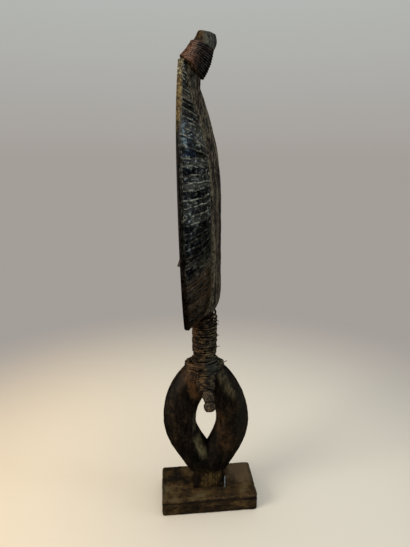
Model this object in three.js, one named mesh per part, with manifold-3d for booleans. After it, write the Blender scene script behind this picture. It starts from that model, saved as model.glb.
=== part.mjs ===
// A reliquary guardian figure with a leaf-shaped, metal-clad head, on its plinth.
// Millimetres, +Z up. The face looks along -Y, +X is the figure's left.
// The origin is the middle of the plinth's underside.
import * as THREE from "three";
import { mergeVertices } from "three/addons/utils/BufferGeometryUtils.js";
import Module from "manifold-3d";

const wasm = await Module();
wasm.setup();

// Fits
const gap = 0.3; // between pieces that touch
const seam = 0.5; // between sheets that lie side by side

// Plinth: a wooden block with a groove cut round its sides
const plinthLength = 108; // front to back
const plinthWidth = 55;
const plinthHeight = 20;
const plinthCorner = 4;
const plinthArris = 2;
const grooveHeight = 15.6;
const grooveWidth = 1.8;
const grooveDepth = 1.5;

// Foot: the tenon under the openwork ring, loose in its mortise
const footSpan = 34.5; // front to back
const footThickness = 18;
const footRise = 14; // bare height between plinth and ring
const tenonDepth = 9;
const mortiseSlack = 5; // extra length behind the tenon
const footChip = 6; // worn corner at the back of the foot

// Openwork ring: an almond that stands fore and aft
const ringHeight = 150;
const ringWidth = 94.4;
const ringThickness = 27;
const ringApex = 10.5; // its width at the top, inside the neck
const holeWidth = 25.2;
const holeHeight = 69;
const holeRise = 39; // from the ring's bottom to the hole's lower tip
const innerBevel = 7;
const outerBevel = 9;
const forwardLean = 4.2; // the neck stands this far in front of the foot

// Neck and its wound cord
const neckRadius = 9.8;
const neckLength = 36; // from the ring's apex to the chin
const cordDiameter = 2.6;

// Lashing round the ring's shoulders
const lashingHeight = 24;
const lashingSpan = 43.5; // front to back, where it is widest
const lashingRise = 4; // its top stands this far above the ring's apex

// Head: a leaf-shaped board, dished in front and domed behind
const headHeight = 253;
const headWidth = 150;
const headTopWidth = 28;
const rimWidth = 5; // front to back
const headTurn = THREE.MathUtils.degToRad(-1.8); // the face is set a little to the figure's right
const rimAhead = 30.6; // the rim stands this far in front of the origin
const chinSetback = 5.4;
const crownSetback = 2.8;
const dishDepth = 13;
const domeDepth = 27.8;
const crownDome = 7; // what is left of the dome at the crown
const keelWidth = 24;
const keelHeight = 9.5;
const sheetThickness = 0.9;

// Face: brow band, eyes and blade nose
const browProud = 0.7; // how far the brow band's middle swells
const eyeRadius = 9.5;
const eyeHeight = 6;
const eyeSpacing = 44;
const noseLength = 36;
const noseWidth = 15;
const noseProud = 3.6; // how far its tip passes the rim

// Topknot: a tapered, bent stub that leans back, sheathed in sheet and wound with wire
const knotLowTilt = THREE.MathUtils.degToRad(41);
const knotHighTilt = THREE.MathUtils.degToRad(12);
const knotLength = 32.2;
const knotSetback = 11.9; // its middle at the lowest turn, behind the rim at the crown
const knotDrop = 4.4; // the same point, below the crown
const knotBaseDepth = 29.6; // fore and aft, over the wire, at its lowest turn
const knotTopDepth = 24.4; // the same, at its highest turn
const knotTipDepth = 15.6;
const knotFlatness = 0.92; // side to side, against fore and aft
const wireDiameter = 1.9;
const wireTurns = 11; // of the knot

// Peg lashed to the ring's left side
const pegDiameter = 10.4;
const pegLength = 40;
const pegTilt = THREE.MathUtils.degToRad(41);
const pegBareLength = 23;
const bindingWidth = 24;
const bindingTurns = 7;

// Nail that pins the foot
const nailDiameter = 1.7;
const nailHeight = 14;
const nailDriven = 6;

// Heights worked out from the sizes above
const ringBottom = plinthHeight + footRise;
const ringTop = ringBottom + ringHeight;
const chin = ringTop + neckLength;
const crown = chin + headHeight;
const ringWaist = ringBottom + 0.493 * ringHeight;
const holeMiddle = ringBottom + holeRise + 0.48 * holeHeight;
const headWaist = chin + 0.352 * headHeight;
const rimBelly = chin + 0.73 * headHeight;

// Shades
const wood = new THREE.MeshStandardMaterial({ color: 0x3a2c1f, roughness: 0.55, metalness: 0 });
const plinthWood = new THREE.MeshStandardMaterial({ color: 0x4a3826, roughness: 0.7, metalness: 0 });
const darkBrass = new THREE.MeshStandardMaterial({ color: 0x2c2722, roughness: 0.35, metalness: 0.8 });
const rimBrass = new THREE.MeshStandardMaterial({ color: 0x6b5228, roughness: 0.4, metalness: 0.9 });
const copper = new THREE.MeshStandardMaterial({ color: 0x6a3424, roughness: 0.45, metalness: 0.8 });
const fibre = new THREE.MeshStandardMaterial({ color: 0x5c4a33, roughness: 0.95, metalness: 0 });
const iron = new THREE.MeshStandardMaterial({ color: 0x6f7476, roughness: 0.5, metalness: 0.8 });

const clamp01 = (value) => Math.min(1, Math.max(0, value));

function smooth(value) {
  const t = clamp01(value);
  return t * t * (3 - 2 * t);
}

// Closed meshes and solids

function solidOf(geometry) {
  const bare = geometry.index ? geometry.toNonIndexed() : geometry.clone();
  const positions = new THREE.BufferGeometry().setAttribute("position", bare.getAttribute("position"));
  const merged = mergeVertices(positions, 1e-4);
  return new wasm.Manifold(
    new wasm.Mesh({
      numProp: 3,
      vertProperties: merged.attributes.position.array,
      triVerts: new Uint32Array(merged.index.array),
    }),
  );
}

function geometryOf(solid) {
  const mesh = solid.getMesh();
  const positions = new Float32Array(mesh.numVert * 3);
  for (let i = 0; i < mesh.numVert; i++) {
    positions.set(mesh.vertProperties.subarray(i * mesh.numProp, i * mesh.numProp + 3), i * 3);
  }
  const geometry = new THREE.BufferGeometry();
  geometry.setAttribute("position", new THREE.BufferAttribute(positions, 3));
  geometry.setIndex(new THREE.BufferAttribute(new Uint32Array(mesh.triVerts), 1));
  geometry.computeVertexNormals();
  return geometry;
}

// The largest single body of a solid, without crumbs that a cut left
function mainBody(solid) {
  return solid.decompose().reduce((best, body) => (body.volume() > best.volume() ? body : best));
}

// Joins rings of points into one skin. A closed run joins its last ring to its first, and an
// open one gets a cap at each end. Each four-sided face is split away from the middle line, so
// that layers laid over each other have the same facets.
function skin(rings, closedRun = false) {
  const count = rings[0].length;
  const corners = [];
  const face = (a, b, c) => corners.push(...a.toArray(), ...b.toArray(), ...c.toArray());
  const steps = closedRun ? rings.length : rings.length - 1;
  for (let i = 0; i < steps; i++) {
    const low = rings[i];
    const high = rings[(i + 1) % rings.length];
    for (let j = 0; j < count; j++) {
      const k = (j + 1) % count;
      if (Math.abs(low[j].x) <= Math.abs(low[k].x)) {
        face(low[j], low[k], high[k]);
        face(low[j], high[k], high[j]);
      } else {
        face(low[j], low[k], high[j]);
        face(low[k], high[k], high[j]);
      }
    }
  }
  if (!closedRun) {
    const cap = (ring) => {
      for (let j = 0; j < count / 2 - 1; j++) {
        const [a, b, c, d] = [ring[j], ring[j + 1], ring[count - 2 - j], ring[count - 1 - j]];
        face(a, b, c);
        face(a, c, d);
      }
    };
    cap([...rings[0]].reverse());
    cap(rings[rings.length - 1]);
  }
  const geometry = new THREE.BufferGeometry();
  geometry.setAttribute("position", new THREE.Float32BufferAttribute(corners, 3));
  const solid = solidOf(geometry);
  if (solid.volume() > 0) return solid;
  return skin(
    rings.map((ring) => [...ring].reverse()),
    closedRun,
  );
}

// A plate between two grids of points of the same size
function plate(front, back) {
  const rings = front.map((row, i) => [...row, ...[...back[i]].reverse()]);
  return skin(rings);
}

// A ring of points on an ellipse, square to an axis
function ellipse(centre, sideways, across, halfSide, halfAcross, sides) {
  return Array.from({ length: sides }, (_, i) => {
    const angle = (2 * Math.PI * i) / sides;
    return centre
      .clone()
      .addScaledVector(sideways, halfSide * Math.cos(angle))
      .addScaledVector(across, halfAcross * Math.sin(angle));
  });
}

// A wound length: turns of a round cord side by side, from station 0 to 1 of a path.
// at(share) gives {centre, sideways, across, halfSide, halfAcross} of the surface beneath.
function winding(at, turns, diameter, sides, filled = false) {
  const facets = 3; // steps in each turn's profile
  const outer = [];
  for (let i = 0; i <= turns * facets; i++) {
    const lift = diameter * (0.62 + 0.38 * Math.sin(Math.PI * ((i % facets) / facets)));
    const s = at(i / (turns * facets));
    outer.push(ellipse(s.centre, s.sideways, s.across, s.halfSide + lift, s.halfAcross + lift, sides));
  }
  if (filled) return skin(outer);
  const inner = [1, 0.5, 0].map((share) => {
    const s = at(share);
    return ellipse(s.centre, s.sideways, s.across, s.halfSide, s.halfAcross, sides);
  });
  return skin([...outer, ...inner], true);
}

const X = new THREE.Vector3(1, 0, 0);
const Y = new THREE.Vector3(0, 1, 0);
const Z = new THREE.Vector3(0, 0, 1);

// The figure's middle line leans forward a little from foot to neck
function middleY(z) {
  return -forwardLean * smooth((z - ringBottom) / (0.9 * ringHeight));
}

// Plinth

function plinthBlock() {
  const halfLength = plinthLength / 2;
  const halfWidth = plinthWidth / 2;
  const ring = (z, inset) => {
    const points = [];
    const radius = plinthCorner;
    const corners = [
      [1, 1, 0],
      [-1, 1, 90],
      [-1, -1, 180],
      [1, -1, 270],
    ];
    for (const [sx, sy, start] of corners) {
      for (let step = 0; step <= 3; step++) {
        const angle = THREE.MathUtils.degToRad(start + 30 * step);
        points.push(
          new THREE.Vector3(
            sx * (halfWidth - radius) + (radius - inset) * Math.cos(angle),
            sy * (halfLength - radius) + (radius - inset) * Math.sin(angle),
            z,
          ),
        );
      }
    }
    return points;
  };
  const half = grooveWidth / 2;
  return skin([
    ring(0, 0.8),
    ring(0.8, 0),
    ring(grooveHeight - half, 0),
    ring(grooveHeight - half * 0.4, grooveDepth),
    ring(grooveHeight + half * 0.4, grooveDepth),
    ring(grooveHeight + half, 0),
    ring(plinthHeight - plinthArris, 0),
    ring(plinthHeight - plinthArris * 0.3, plinthArris * 0.3),
    ring(plinthHeight, plinthArris),
  ]);
}

// Foot: rounded tenon from inside the plinth up into the ring

function footRing(z, halfSpan, halfThickness) {
  const soften = 0.45;
  return [
    [1, -soften],
    [1, soften],
    [soften, 1],
    [-soften, 1],
    [-1, soften],
    [-1, -soften],
    [-soften, -1],
    [soften, -1],
  ].map(([u, v]) => {
    const across = Math.abs(v) === 1 ? Math.sign(u) * 0.72 : u;
    const along = Math.abs(u) === 1 ? Math.sign(v) * 0.82 : v;
    return new THREE.Vector3(across * halfThickness, along * halfSpan, z);
  });
}

function foot(grow = 0) {
  const halfSpan = footSpan / 2 + grow;
  const halfThickness = footThickness / 2 + grow;
  const body = skin([
    footRing(plinthHeight - tenonDepth + gap - grow, halfSpan * 0.92, halfThickness * 0.92),
    footRing(plinthHeight, halfSpan * 0.98, halfThickness),
    footRing(ringBottom + 0.1 * ringHeight, halfSpan, halfThickness),
  ]);
  if (grow > 0) return body;
  const chip = solidOf(
    new THREE.BoxGeometry(footThickness, 2 * footChip, footChip)
      .rotateX(THREE.MathUtils.degToRad(-38))
      .translate(footThickness * 0.62, footSpan / 2, plinthHeight + footChip * 0.3),
  );
  return mainBody(body.subtract(chip));
}

function mortise() {
  const depth = tenonDepth + 1;
  return solidOf(
    new THREE.BoxGeometry(footThickness + 2 * gap + 1, footSpan + 2 * gap + mortiseSlack, depth).translate(
      0,
      mortiseSlack / 2,
      plinthHeight - tenonDepth + depth / 2,
    ),
  );
}

// Openwork ring

function bezier(points, steps) {
  const [a, b, c, d] = points.map(([x, y]) => new THREE.Vector2(x, y));
  return new THREE.CubicBezierCurve(a, b, c, d).getPoints(steps);
}

// Both halves of an almond outline, as (half width, height) points, lowest first
function almond(bottomHalf, widestHalf, topHalf, low, waist, high, lowerSlope, upperSlope) {
  const lower = waist - low;
  const upper = high - waist;
  const right = [
    ...bezier(
      [
        [bottomHalf, low],
        [bottomHalf + lowerSlope * (widestHalf - bottomHalf), low + 0.416 * lower],
        [widestHalf, low + 0.651 * lower],
        [widestHalf, waist],
      ],
      14,
    ),
    ...bezier(
      [
        [widestHalf, waist],
        [widestHalf, waist + 0.315 * upper],
        [topHalf + upperSlope * (widestHalf - topHalf), waist + 0.706 * upper],
        [topHalf, high],
      ],
      14,
    ).slice(1),
  ];
  const left = [...right].reverse().map((p) => new THREE.Vector2(-p.x, p.y));
  return [...right, ...left];
}

// Where a ray from a point at an angle meets a closed outline
function rayLength(outline, from, angle) {
  const ray = new THREE.Vector2(Math.cos(angle), Math.sin(angle));
  let best = 0;
  outline.forEach((a, i) => {
    const edge = outline[(i + 1) % outline.length].clone().sub(a);
    const cross = ray.x * edge.y - ray.y * edge.x;
    if (Math.abs(cross) < 1e-9) return;
    const offset = a.clone().sub(from);
    const along = (offset.x * edge.y - offset.y * edge.x) / cross;
    const share = (offset.x * ray.y - offset.y * ray.x) / cross;
    if (along > 0 && share >= -1e-9 && share <= 1 + 1e-9) best = Math.max(best, along);
  });
  return best;
}

function ring(grow = 0) {
  const steps = 40;
  const outer = almond(footSpan / 2, ringWidth / 2, ringApex / 2, ringBottom, ringWaist, ringTop, 0.52, 0.758);
  const holeLow = ringBottom + holeRise;
  const hole = almond(0.4, holeWidth / 2, 0.4, holeLow, holeMiddle, holeLow + holeHeight, 0.55, 0.62);
  const from = new THREE.Vector2(0, holeMiddle);
  const rings = [];
  for (let i = 0; i < steps; i++) {
    const angle = Math.PI / 2 + (2 * Math.PI * i) / steps;
    const near = rayLength(hole, from, angle) - grow;
    const far = rayLength(outer, from, angle) + grow;
    const length = far - near;
    const downward = clamp01(-Math.sin(angle));
    const upward = clamp01(Math.sin(angle));
    const bevelIn = innerBevel * (1 + 2.6 * downward ** 12 + upward ** 12);
    const thin = 1 - 0.16 * downward ** 8;
    const half = (ringThickness / 2) * thin + grow;
    const cheek = Math.max(bevelIn / length + 0.08, 0.55);
    const profile = [
      [0, 0.46],
      [bevelIn / length, 0.94],
      [cheek, 1],
      [Math.max(1 - outerBevel / length, cheek + 0.08), 0.9],
      [1, 0.46],
    ];
    const section = [...profile, ...[...profile].reverse().map(([u, v]) => [u, -v])];
    rings.push(
      section.map(([u, v]) => {
        const reach = near + u * length;
        const z = holeMiddle + reach * Math.sin(angle);
        return new THREE.Vector3(v * half, reach * Math.cos(angle) + middleY(z), z);
      }),
    );
  }
  return skin(rings, true);
}

// Neck

function neck(grow = 0) {
  const stations = [ringTop - 22, ringTop, chin, chin + 0.14 * headHeight];
  return skin(
    stations.map((z) =>
      ellipse(new THREE.Vector3(0, middleY(z), z), X, Y, neckRadius + grow, neckRadius + grow, 16),
    ),
  );
}

function neckCord() {
  const sides = 10;
  const start = ringTop + lashingRise;
  const turns = Math.floor((chin + 4.25 * cordDiameter - start) / cordDiameter);
  return winding(
    (share) => {
      const z = start + share * turns * cordDiameter;
      const half = (neckRadius + gap) / Math.cos(Math.PI / sides);
      return { centre: new THREE.Vector3(0, middleY(z), z), sideways: X, across: Y, halfSide: half, halfAcross: half };
    },
    turns,
    cordDiameter,
    sides,
  );
}

function lashing(grow = 0) {
  const turns = Math.round(lashingHeight / cordDiameter);
  const top = ringTop + lashingRise - gap;
  return winding(
    (share) => {
      const z = top + grow - (1 - share) * (lashingHeight + 2 * grow);
      const down = 1 - share;
      const flare = smooth(down / 0.62) * (1 - 0.16 * clamp01((down - 0.6) / 0.4) ** 3);
      const high = neckRadius + gap;
      const halfAcross = high + (lashingSpan / 2 - cordDiameter - high) * flare;
      const halfSide = high + (ringThickness / 2 + 1.5 - high) * flare;
      const centre = new THREE.Vector3(0, middleY(z), z);
      return { centre, sideways: X, across: Y, halfSide: halfSide + grow, halfAcross: halfAcross + grow };
    },
    turns,
    cordDiameter,
    12,
    true,
  );
}

// Head board, as a front and a back surface over one leaf outline

const outlineUpper = new THREE.CubicBezierCurve(
  new THREE.Vector2(headTopWidth / 2, crown),
  new THREE.Vector2(0.36 * (headWidth / 2), crown - 0.132 * headHeight),
  new THREE.Vector2(headWidth / 2, headWaist + 0.29 * headHeight),
  new THREE.Vector2(headWidth / 2, headWaist),
);
const outlineLower = new THREE.CubicBezierCurve(
  new THREE.Vector2(headWidth / 2, headWaist),
  new THREE.Vector2(headWidth / 2, headWaist - 0.167 * headHeight),
  new THREE.Vector2(0.61 * (headWidth / 2), chin),
  new THREE.Vector2(0, chin),
);

// A point of the leaf outline, share 0 at the crown to 1 at the chin, moved inwards by inset
function leafPoint(share, inset = 0) {
  const upper = share < 0.5;
  const curve = upper ? outlineUpper : outlineLower;
  const t = upper ? share * 2 : share * 2 - 1;
  const point = curve.getPoint(t);
  const along = curve.getTangent(t);
  return new THREE.Vector2(point.x + along.y * inset, point.y - along.x * inset);
}

function rimFront(z) {
  const below = Math.max(0, rimBelly - z) / (rimBelly - chin);
  const above = Math.max(0, z - rimBelly) / (crown - rimBelly);
  return -rimAhead + chinSetback * below ** 2 + crownSetback * above ** 2;
}

function dish(z) {
  const up = (z - chin) / headHeight;
  return dishDepth * smooth(up / 0.3) * smooth((1 - up) / 0.28);
}

function dome(z) {
  const rise = clamp01((z - chin) / (0.195 * headHeight));
  const fill = 0.9 + 0.1 * smooth((z - chin) / (0.52 * headHeight));
  const fall = clamp01((z - chin - 0.514 * headHeight) / (0.486 * headHeight));
  const depth = domeDepth * (1 - (1 - rise) ** 3) * fill - 1.17 * domeDepth * fall ** 2.22;
  return fall > 0 ? Math.max(crownDome, depth) : depth;
}

function keel(z) {
  const up = z - chin;
  return keelHeight * smooth((up - 0.03 * headHeight) / (0.05 * headHeight));
}

const frontLayer = sheetThickness + gap;
const edgeInset = sheetThickness + gap; // the rim band covers the board's edge

function coreFront(x, z, half) {
  const share = Math.min(1, Math.abs(x) / half);
  return rimFront(z) + frontLayer + dish(z) * (1 - share ** 2);
}

function coreBack(x, z, half) {
  const share = Math.min(1, Math.abs(x) / half);
  const ridge = Math.min(1, Math.abs(x) / Math.min(keelWidth / 2, 0.7 * half));
  const flank = rimFront(z) + rimWidth - frontLayer + dome(z) * (1 - share ** 2.2);
  return flank + keel(z) * (1 - ridge ** 2.4);
}

// Half the leaf's width at a height
function halfWidthAt(z) {
  let low = 0;
  let high = 1;
  for (let i = 0; i < 40; i++) {
    const middle = (low + high) / 2;
    if (leafPoint(middle, edgeInset).y > z) low = middle;
    else high = middle;
  }
  return leafPoint(low, edgeInset).x;
}

// A point that stands a set distance off a surface of the board, measured square to it
function offBoard(surface, x, edge, distance) {
  const reach = (dx, dz) => surface(Math.abs(x) + dx, edge.y + dz, dz ? halfWidthAt(edge.y + dz) : edge.x);
  const slopeX = reach(0.5, 0) - reach(-0.5, 0);
  const slopeZ = reach(0, 0.5) - reach(0, -0.5);
  const steep = Math.min(2.2, Math.hypot(1, slopeX, slopeZ));
  return new THREE.Vector3(x, surface(x, edge.y, edge.x) + distance * steep, edge.y);
}

const headRows = 18;
const lastRow = 0.955; // the row nearest the chin
const rowShares = Array.from({ length: headRows }, (_, i) => lastRow * (i / (headRows - 1)));

// Where the columns of one row stand, from the middle out: the keel's, then the flank's
function columns(half) {
  const ridge = Math.min(keelWidth / 2, 0.7 * half);
  const inner = [0, 0.5, 1].map((s) => s * ridge);
  const outer = [0.3, 0.6, 0.84, 1].map((s) => ridge + s * (half - ridge));
  return [...inner, ...outer];
}

function headBoard(grow = 0) {
  const front = [];
  const back = [];
  for (const share of rowShares) {
    const edge = leafPoint(share, edgeInset - grow);
    if (share === lastRow) edge.y -= grow;
    const half = columns(edge.x);
    const xs = [...[...half].reverse().map((x) => -x), ...half.slice(1)];
    front.push(xs.map((x) => new THREE.Vector3(x, coreFront(x, edge.y, edge.x) - grow, edge.y)));
    back.push(xs.map((x) => new THREE.Vector3(x, coreBack(x, edge.y, edge.x) + grow, edge.y)));
  }
  return plate(front, back);
}

// Sheet work on the head. side is 1 for the figure's left and -1 for its right.

const backRows = rowShares.filter((s) => s > 0.04 && s < 0.93);
const faceRows = rowShares.filter((s) => s > 0.04 && s < 0.93);

function backStrips(side) {
  const under = [];
  const over = [];
  for (const share of backRows) {
    const edge = leafPoint(share, edgeInset);
    const xs = columns(edge.x).slice(2);
    xs[0] += seam;
    const at = (x, lift) => offBoard(coreBack, side * x, edge, lift);
    under.push(xs.map((x) => at(x, gap)));
    over.push(xs.map((x) => at(x, gap + sheetThickness)));
  }
  return plate(under, over);
}

function keelSheath() {
  const under = [];
  const over = [];
  for (const share of rowShares.filter((s) => s > 0.04 && s < 0.87)) {
    const edge = leafPoint(share, edgeInset);
    const half = columns(edge.x).slice(0, 3);
    const xs = [...[...half].reverse().map((x) => -x), ...half.slice(1)];
    const at = (x, lift) => offBoard(coreBack, x, edge, lift);
    under.push(xs.map((x) => at(x, gap)));
    over.push(xs.map((x) => at(x, gap + sheetThickness + 0.4)));
  }
  return plate(under, over);
}

function faceStrips(side) {
  const under = [];
  const over = [];
  for (const share of faceRows) {
    const edge = leafPoint(share, edgeInset);
    const xs = columns(edge.x).slice(1);
    xs[0] += seam;
    const at = (x, lift) => offBoard(coreFront, side * x, edge, -lift);
    under.push(xs.map((x) => at(x, gap)));
    over.push(xs.map((x) => at(x, gap + sheetThickness)));
  }
  return plate(under, over);
}

function browBand() {
  const under = [];
  const over = [];
  for (const share of faceRows) {
    const edge = leafPoint(share, edgeInset);
    const half = columns(edge.x)[1];
    const at = (x, lift) => offBoard(coreFront, x, edge, -lift);
    under.push([-half, 0, half].map((x) => at(x, gap)));
    over.push([-half, 0, half].map((x) => at(x, gap + sheetThickness + browProud * (1 - (x / half) ** 2))));
  }
  return plate(under, over);
}

function rimBand() {
  const down = Array.from({ length: 29 }, (_, i) => i / 28);
  const path = [...down.map((s) => [s, 1]), ...[...down].reverse().slice(1).map((s) => [s, -1])];
  return skin(
    path.map(([share, side]) => {
      const outer = leafPoint(share);
      const inner = leafPoint(share, sheetThickness);
      const front = rimFront(outer.y);
      return [
        new THREE.Vector3(side * outer.x, front, outer.y),
        new THREE.Vector3(side * outer.x, front + rimWidth, outer.y),
        new THREE.Vector3(side * inner.x, front + rimWidth, inner.y),
        new THREE.Vector3(side * inner.x, front, inner.y),
      ];
    }),
  );
}

// Eyes and nose stand on the face's sheet

const noseBottom = chin + 0.255 * headHeight;
const eyeLevel = noseBottom + 0.78 * noseLength;

function eye(side) {
  const x = (side * eyeSpacing) / 2;
  const half = halfWidthAt(eyeLevel);
  const seat = coreFront(x, eyeLevel, half) - gap - sheetThickness - gap;
  const profile = [
    [0, 0],
    [0.5, 0],
    [1, 0],
    [1, 0.22],
    [0.82, 0.42],
    [0.62, 0.8],
    [0.3, 0.97],
    [0, 1],
  ].map(([r, h]) => new THREE.Vector2(r * eyeRadius, h * eyeHeight));
  const domeShape = new THREE.LatheGeometry(profile, 16);
  const turn = Math.atan((2 * dish(eyeLevel) * Math.abs(x)) / half ** 2) * side;
  domeShape.rotateX(Math.PI).rotateZ(-turn).translate(x, seat, eyeLevel);
  return solidOf(domeShape);
}

function nose() {
  const half = halfWidthAt(noseBottom);
  const lift = gap + sheetThickness + browProud + 1.5 * gap;
  const rootTop = coreFront(0, noseBottom + noseLength, halfWidthAt(noseBottom + noseLength)) - lift;
  const rootLow = coreFront(0, noseBottom, half) - lift;
  const tip = rimFront(noseBottom) - noseProud;
  const section = (z, back, front, width) => [
    new THREE.Vector3(width / 2, back, z),
    new THREE.Vector3(-width / 2, back, z),
    new THREE.Vector3(-0.12 * width, front, z),
    new THREE.Vector3(0.12 * width, front, z),
  ];
  const rings = [0, 0.5, 1].map((share) => {
    const z = noseBottom + share * noseLength;
    const back = rootLow + (rootTop - rootLow) * share;
    const front = tip + (rootTop - 1.2 - tip) * share;
    return section(z, back, front, noseWidth * (1 - 0.62 * share));
  });
  return skin(rings);
}

// Topknot, along a bent spine that leans back from the crown

const knotLayers = wireDiameter + sheetThickness + 2 * gap;
const knotFoot = new THREE.Vector3(0, rimFront(crown) + knotSetback, crown - knotDrop);

// Half depth of the wood along the spine, 0 at the lowest turn
function knotHalf(station) {
  const wound = wireTurns * wireDiameter;
  const base = knotBaseDepth / 2 - knotLayers;
  const top = knotTopDepth / 2 - knotLayers;
  const tip = knotTipDepth / 2 - gap - sheetThickness;
  if (station < 0) return base * 0.85;
  if (station <= wound) return base + ((top - base) * station) / wound;
  return top + (tip - top) * ((station - wound) / (knotLength - wound)) ** 2;
}

// Where the spine stands at a station, and which way the ring there faces
function knotAt(station) {
  const steps = 12;
  const tilt = (at) => knotLowTilt + (knotHighTilt - knotLowTilt) * clamp01(at / knotLength);
  const centre = knotFoot.clone();
  for (let i = 0; i < steps; i++) {
    const here = tilt((station * (i + 0.5)) / steps);
    centre.add(new THREE.Vector3(0, Math.sin(here), Math.cos(here)).multiplyScalar(station / steps));
  }
  const here = tilt(station);
  return { centre, across: new THREE.Vector3(0, Math.cos(here), -Math.sin(here)) };
}

function knotRing(station, lift, sides = 12) {
  const { centre, across } = knotAt(station);
  const half = knotHalf(station);
  return ellipse(centre, X, across, half * knotFlatness + lift, half + lift, sides);
}

const knotWound = wireTurns * wireDiameter;
const knotBend = knotWound + 0.7 * (knotLength - knotWound);

function knotCore(grow = 0) {
  const stations = [-4, 0, knotWound / 2, knotWound, knotBend, knotLength - sheetThickness - gap + grow];
  return skin(stations.map((s) => knotRing(s, grow)));
}

function knotSheath() {
  const stations = [-1, 0, knotWound / 2, knotWound, knotBend, knotLength];
  const shell = skin(stations.map((s) => knotRing(s, gap + sheetThickness)));
  return shell.subtract(knotCore(gap)).subtract(headBoard(gap));
}

function knotWire() {
  const lift = 2 * gap + sheetThickness;
  return winding(
    (share) => {
      const { centre, across } = knotAt(share * knotWound);
      const half = knotHalf(share * knotWound);
      return { centre, sideways: X, across, halfSide: half * knotFlatness + lift, halfAcross: half + lift };
    },
    wireTurns,
    wireDiameter,
    12,
  );
}

// Everything that the topknot takes up, for the sheets and rim that stop against it
function knotRoom(grow) {
  const stations = [-5, -1, 0, knotWound, knotLength];
  return skin(stations.map((s) => knotRing(s, (s < -2 ? 0 : knotLayers) + grow)));
}

// Peg and its binding, on the ring's left side

const pegAxis = new THREE.Vector3(Math.sin(pegTilt), 0, -Math.cos(pegTilt));
const pegOut = new THREE.Vector3(Math.cos(pegTilt), 0, Math.sin(pegTilt));
const pegRoot = new THREE.Vector3(ringThickness / 2 - 3.5, middleY(ringTop) + 1.2, ringTop - 15.5);
const bindingSlip = 2.6; // the binding's middle stands this far in front of the peg's

function peg(grow = 0) {
  const half = pegDiameter / 2;
  const stations = [
    [0, 0.7],
    [pegLength * 0.35, 0.92],
    [pegLength * 0.66, 1],
    [pegLength * 0.7, 0.86],
    [pegLength * 0.78, 0.88],
    [pegLength * 0.84, 1.02],
    [pegLength * 0.95, 0.9],
    [pegLength, 0.55],
  ];
  return skin(
    stations.map(([along, share]) => {
      const centre = pegRoot.clone().addScaledVector(pegAxis, along);
      return ellipse(centre, pegOut, Y, half * share + grow, half * share + grow, 12);
    }),
  );
}

function pegBinding() {
  const length = pegLength - pegBareLength + 4;
  const lift = (length / bindingTurns) * 0.9;
  return winding(
    (share) => {
      const along = -2 + share * length;
      const centre = pegRoot.clone().addScaledVector(pegAxis, along);
      centre.y -= bindingSlip * (1 - 0.7 * share);
      const narrow = bindingWidth / 2 - lift - (bindingWidth / 2 - pegDiameter / 2 - lift) * share;
      return { centre, sideways: pegOut, across: Y, halfSide: pegDiameter / 2 + 0.4, halfAcross: narrow };
    },
    bindingTurns,
    lift,
    10,
    true,
  );
}

// Nail

function nail(grow = 0) {
  const half = nailDiameter / 2 + grow;
  const length = nailHeight + nailDriven;
  return solidOf(
    new THREE.CylinderGeometry(half, half, length + grow, 10)
      .rotateX(Math.PI / 2)
      .rotateY(THREE.MathUtils.degToRad(-4))
      .translate(
        footThickness / 2 + nailDiameter + 0.4,
        footSpan / 2 + 1.5,
        plinthHeight - nailDriven - grow / 2 + length / 2,
      ),
  );
}

// Assembly

// The whole head is turned a little on the neck
function turned(solid) {
  return solidOf(geometryOf(solid).rotateZ(headTurn));
}

const figure = ring().add(foot()).add(neck()).add(turned(headBoard().add(knotCore())));
const ringRoom = ring(gap).add(foot(gap)).add(neck(gap));
const headRoom = turned(headBoard(2 * gap + sheetThickness).add(rimBand()));
const sheetFace = headBoard(gap + sheetThickness + gap);
const knotSpace = knotRoom(gap);
const neckSpace = neck(2 * gap);
const lashed = lashing(2 * gap);

const onHead = [
  ["back_strips_left", darkBrass, backStrips(1).subtract(knotSpace).subtract(neckSpace)],
  ["back_strips_right", darkBrass, backStrips(-1).subtract(knotSpace).subtract(neckSpace)],
  ["keel_sheath", darkBrass, keelSheath().subtract(knotSpace).subtract(neckSpace)],
  ["face_strips_left", darkBrass, faceStrips(1).subtract(knotSpace)],
  ["face_strips_right", darkBrass, faceStrips(-1).subtract(knotSpace)],
  ["brow_band", darkBrass, browBand().subtract(knotSpace)],
  ["rim_band", rimBrass, rimBand().subtract(knotSpace)],
  ["eye_left", copper, eye(1).subtract(sheetFace)],
  ["eye_right", copper, eye(-1).subtract(sheetFace)],
  ["nose_blade", rimBrass, nose().subtract(sheetFace)],
  ["topknot_sheath", darkBrass, knotSheath()],
  ["topknot_wire", copper, knotWire().subtract(headBoard(gap))],
];

const below = [
  ["plinth", plinthWood, plinthBlock().subtract(mortise()).subtract(nail(gap))],
  ["wooden_figure", wood, figure],
  ["neck_cord", fibre, neckCord().subtract(headRoom)],
  ["shoulder_lashing", fibre, lashing().subtract(ringRoom)],
  ["side_peg", wood, peg().subtract(ringRoom).subtract(lashed)],
  ["peg_binding", copper, pegBinding().subtract(ringRoom).subtract(lashed).subtract(peg(gap))],
  ["foot_nail", iron, nail()],
];

const reliquary = new THREE.Group();
for (const [name, material, solid] of [...below, ...onHead.map(([n, m, s]) => [n, m, turned(s)])]) {
  const mesh = new THREE.Mesh(geometryOf(mainBody(solid)), material);
  mesh.name = name;
  reliquary.add(mesh);
}

export default reliquary;
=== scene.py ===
import math
import random

import bmesh
import bpy
import numpy as np
from mathutils import Matrix, Vector, noise


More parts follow.
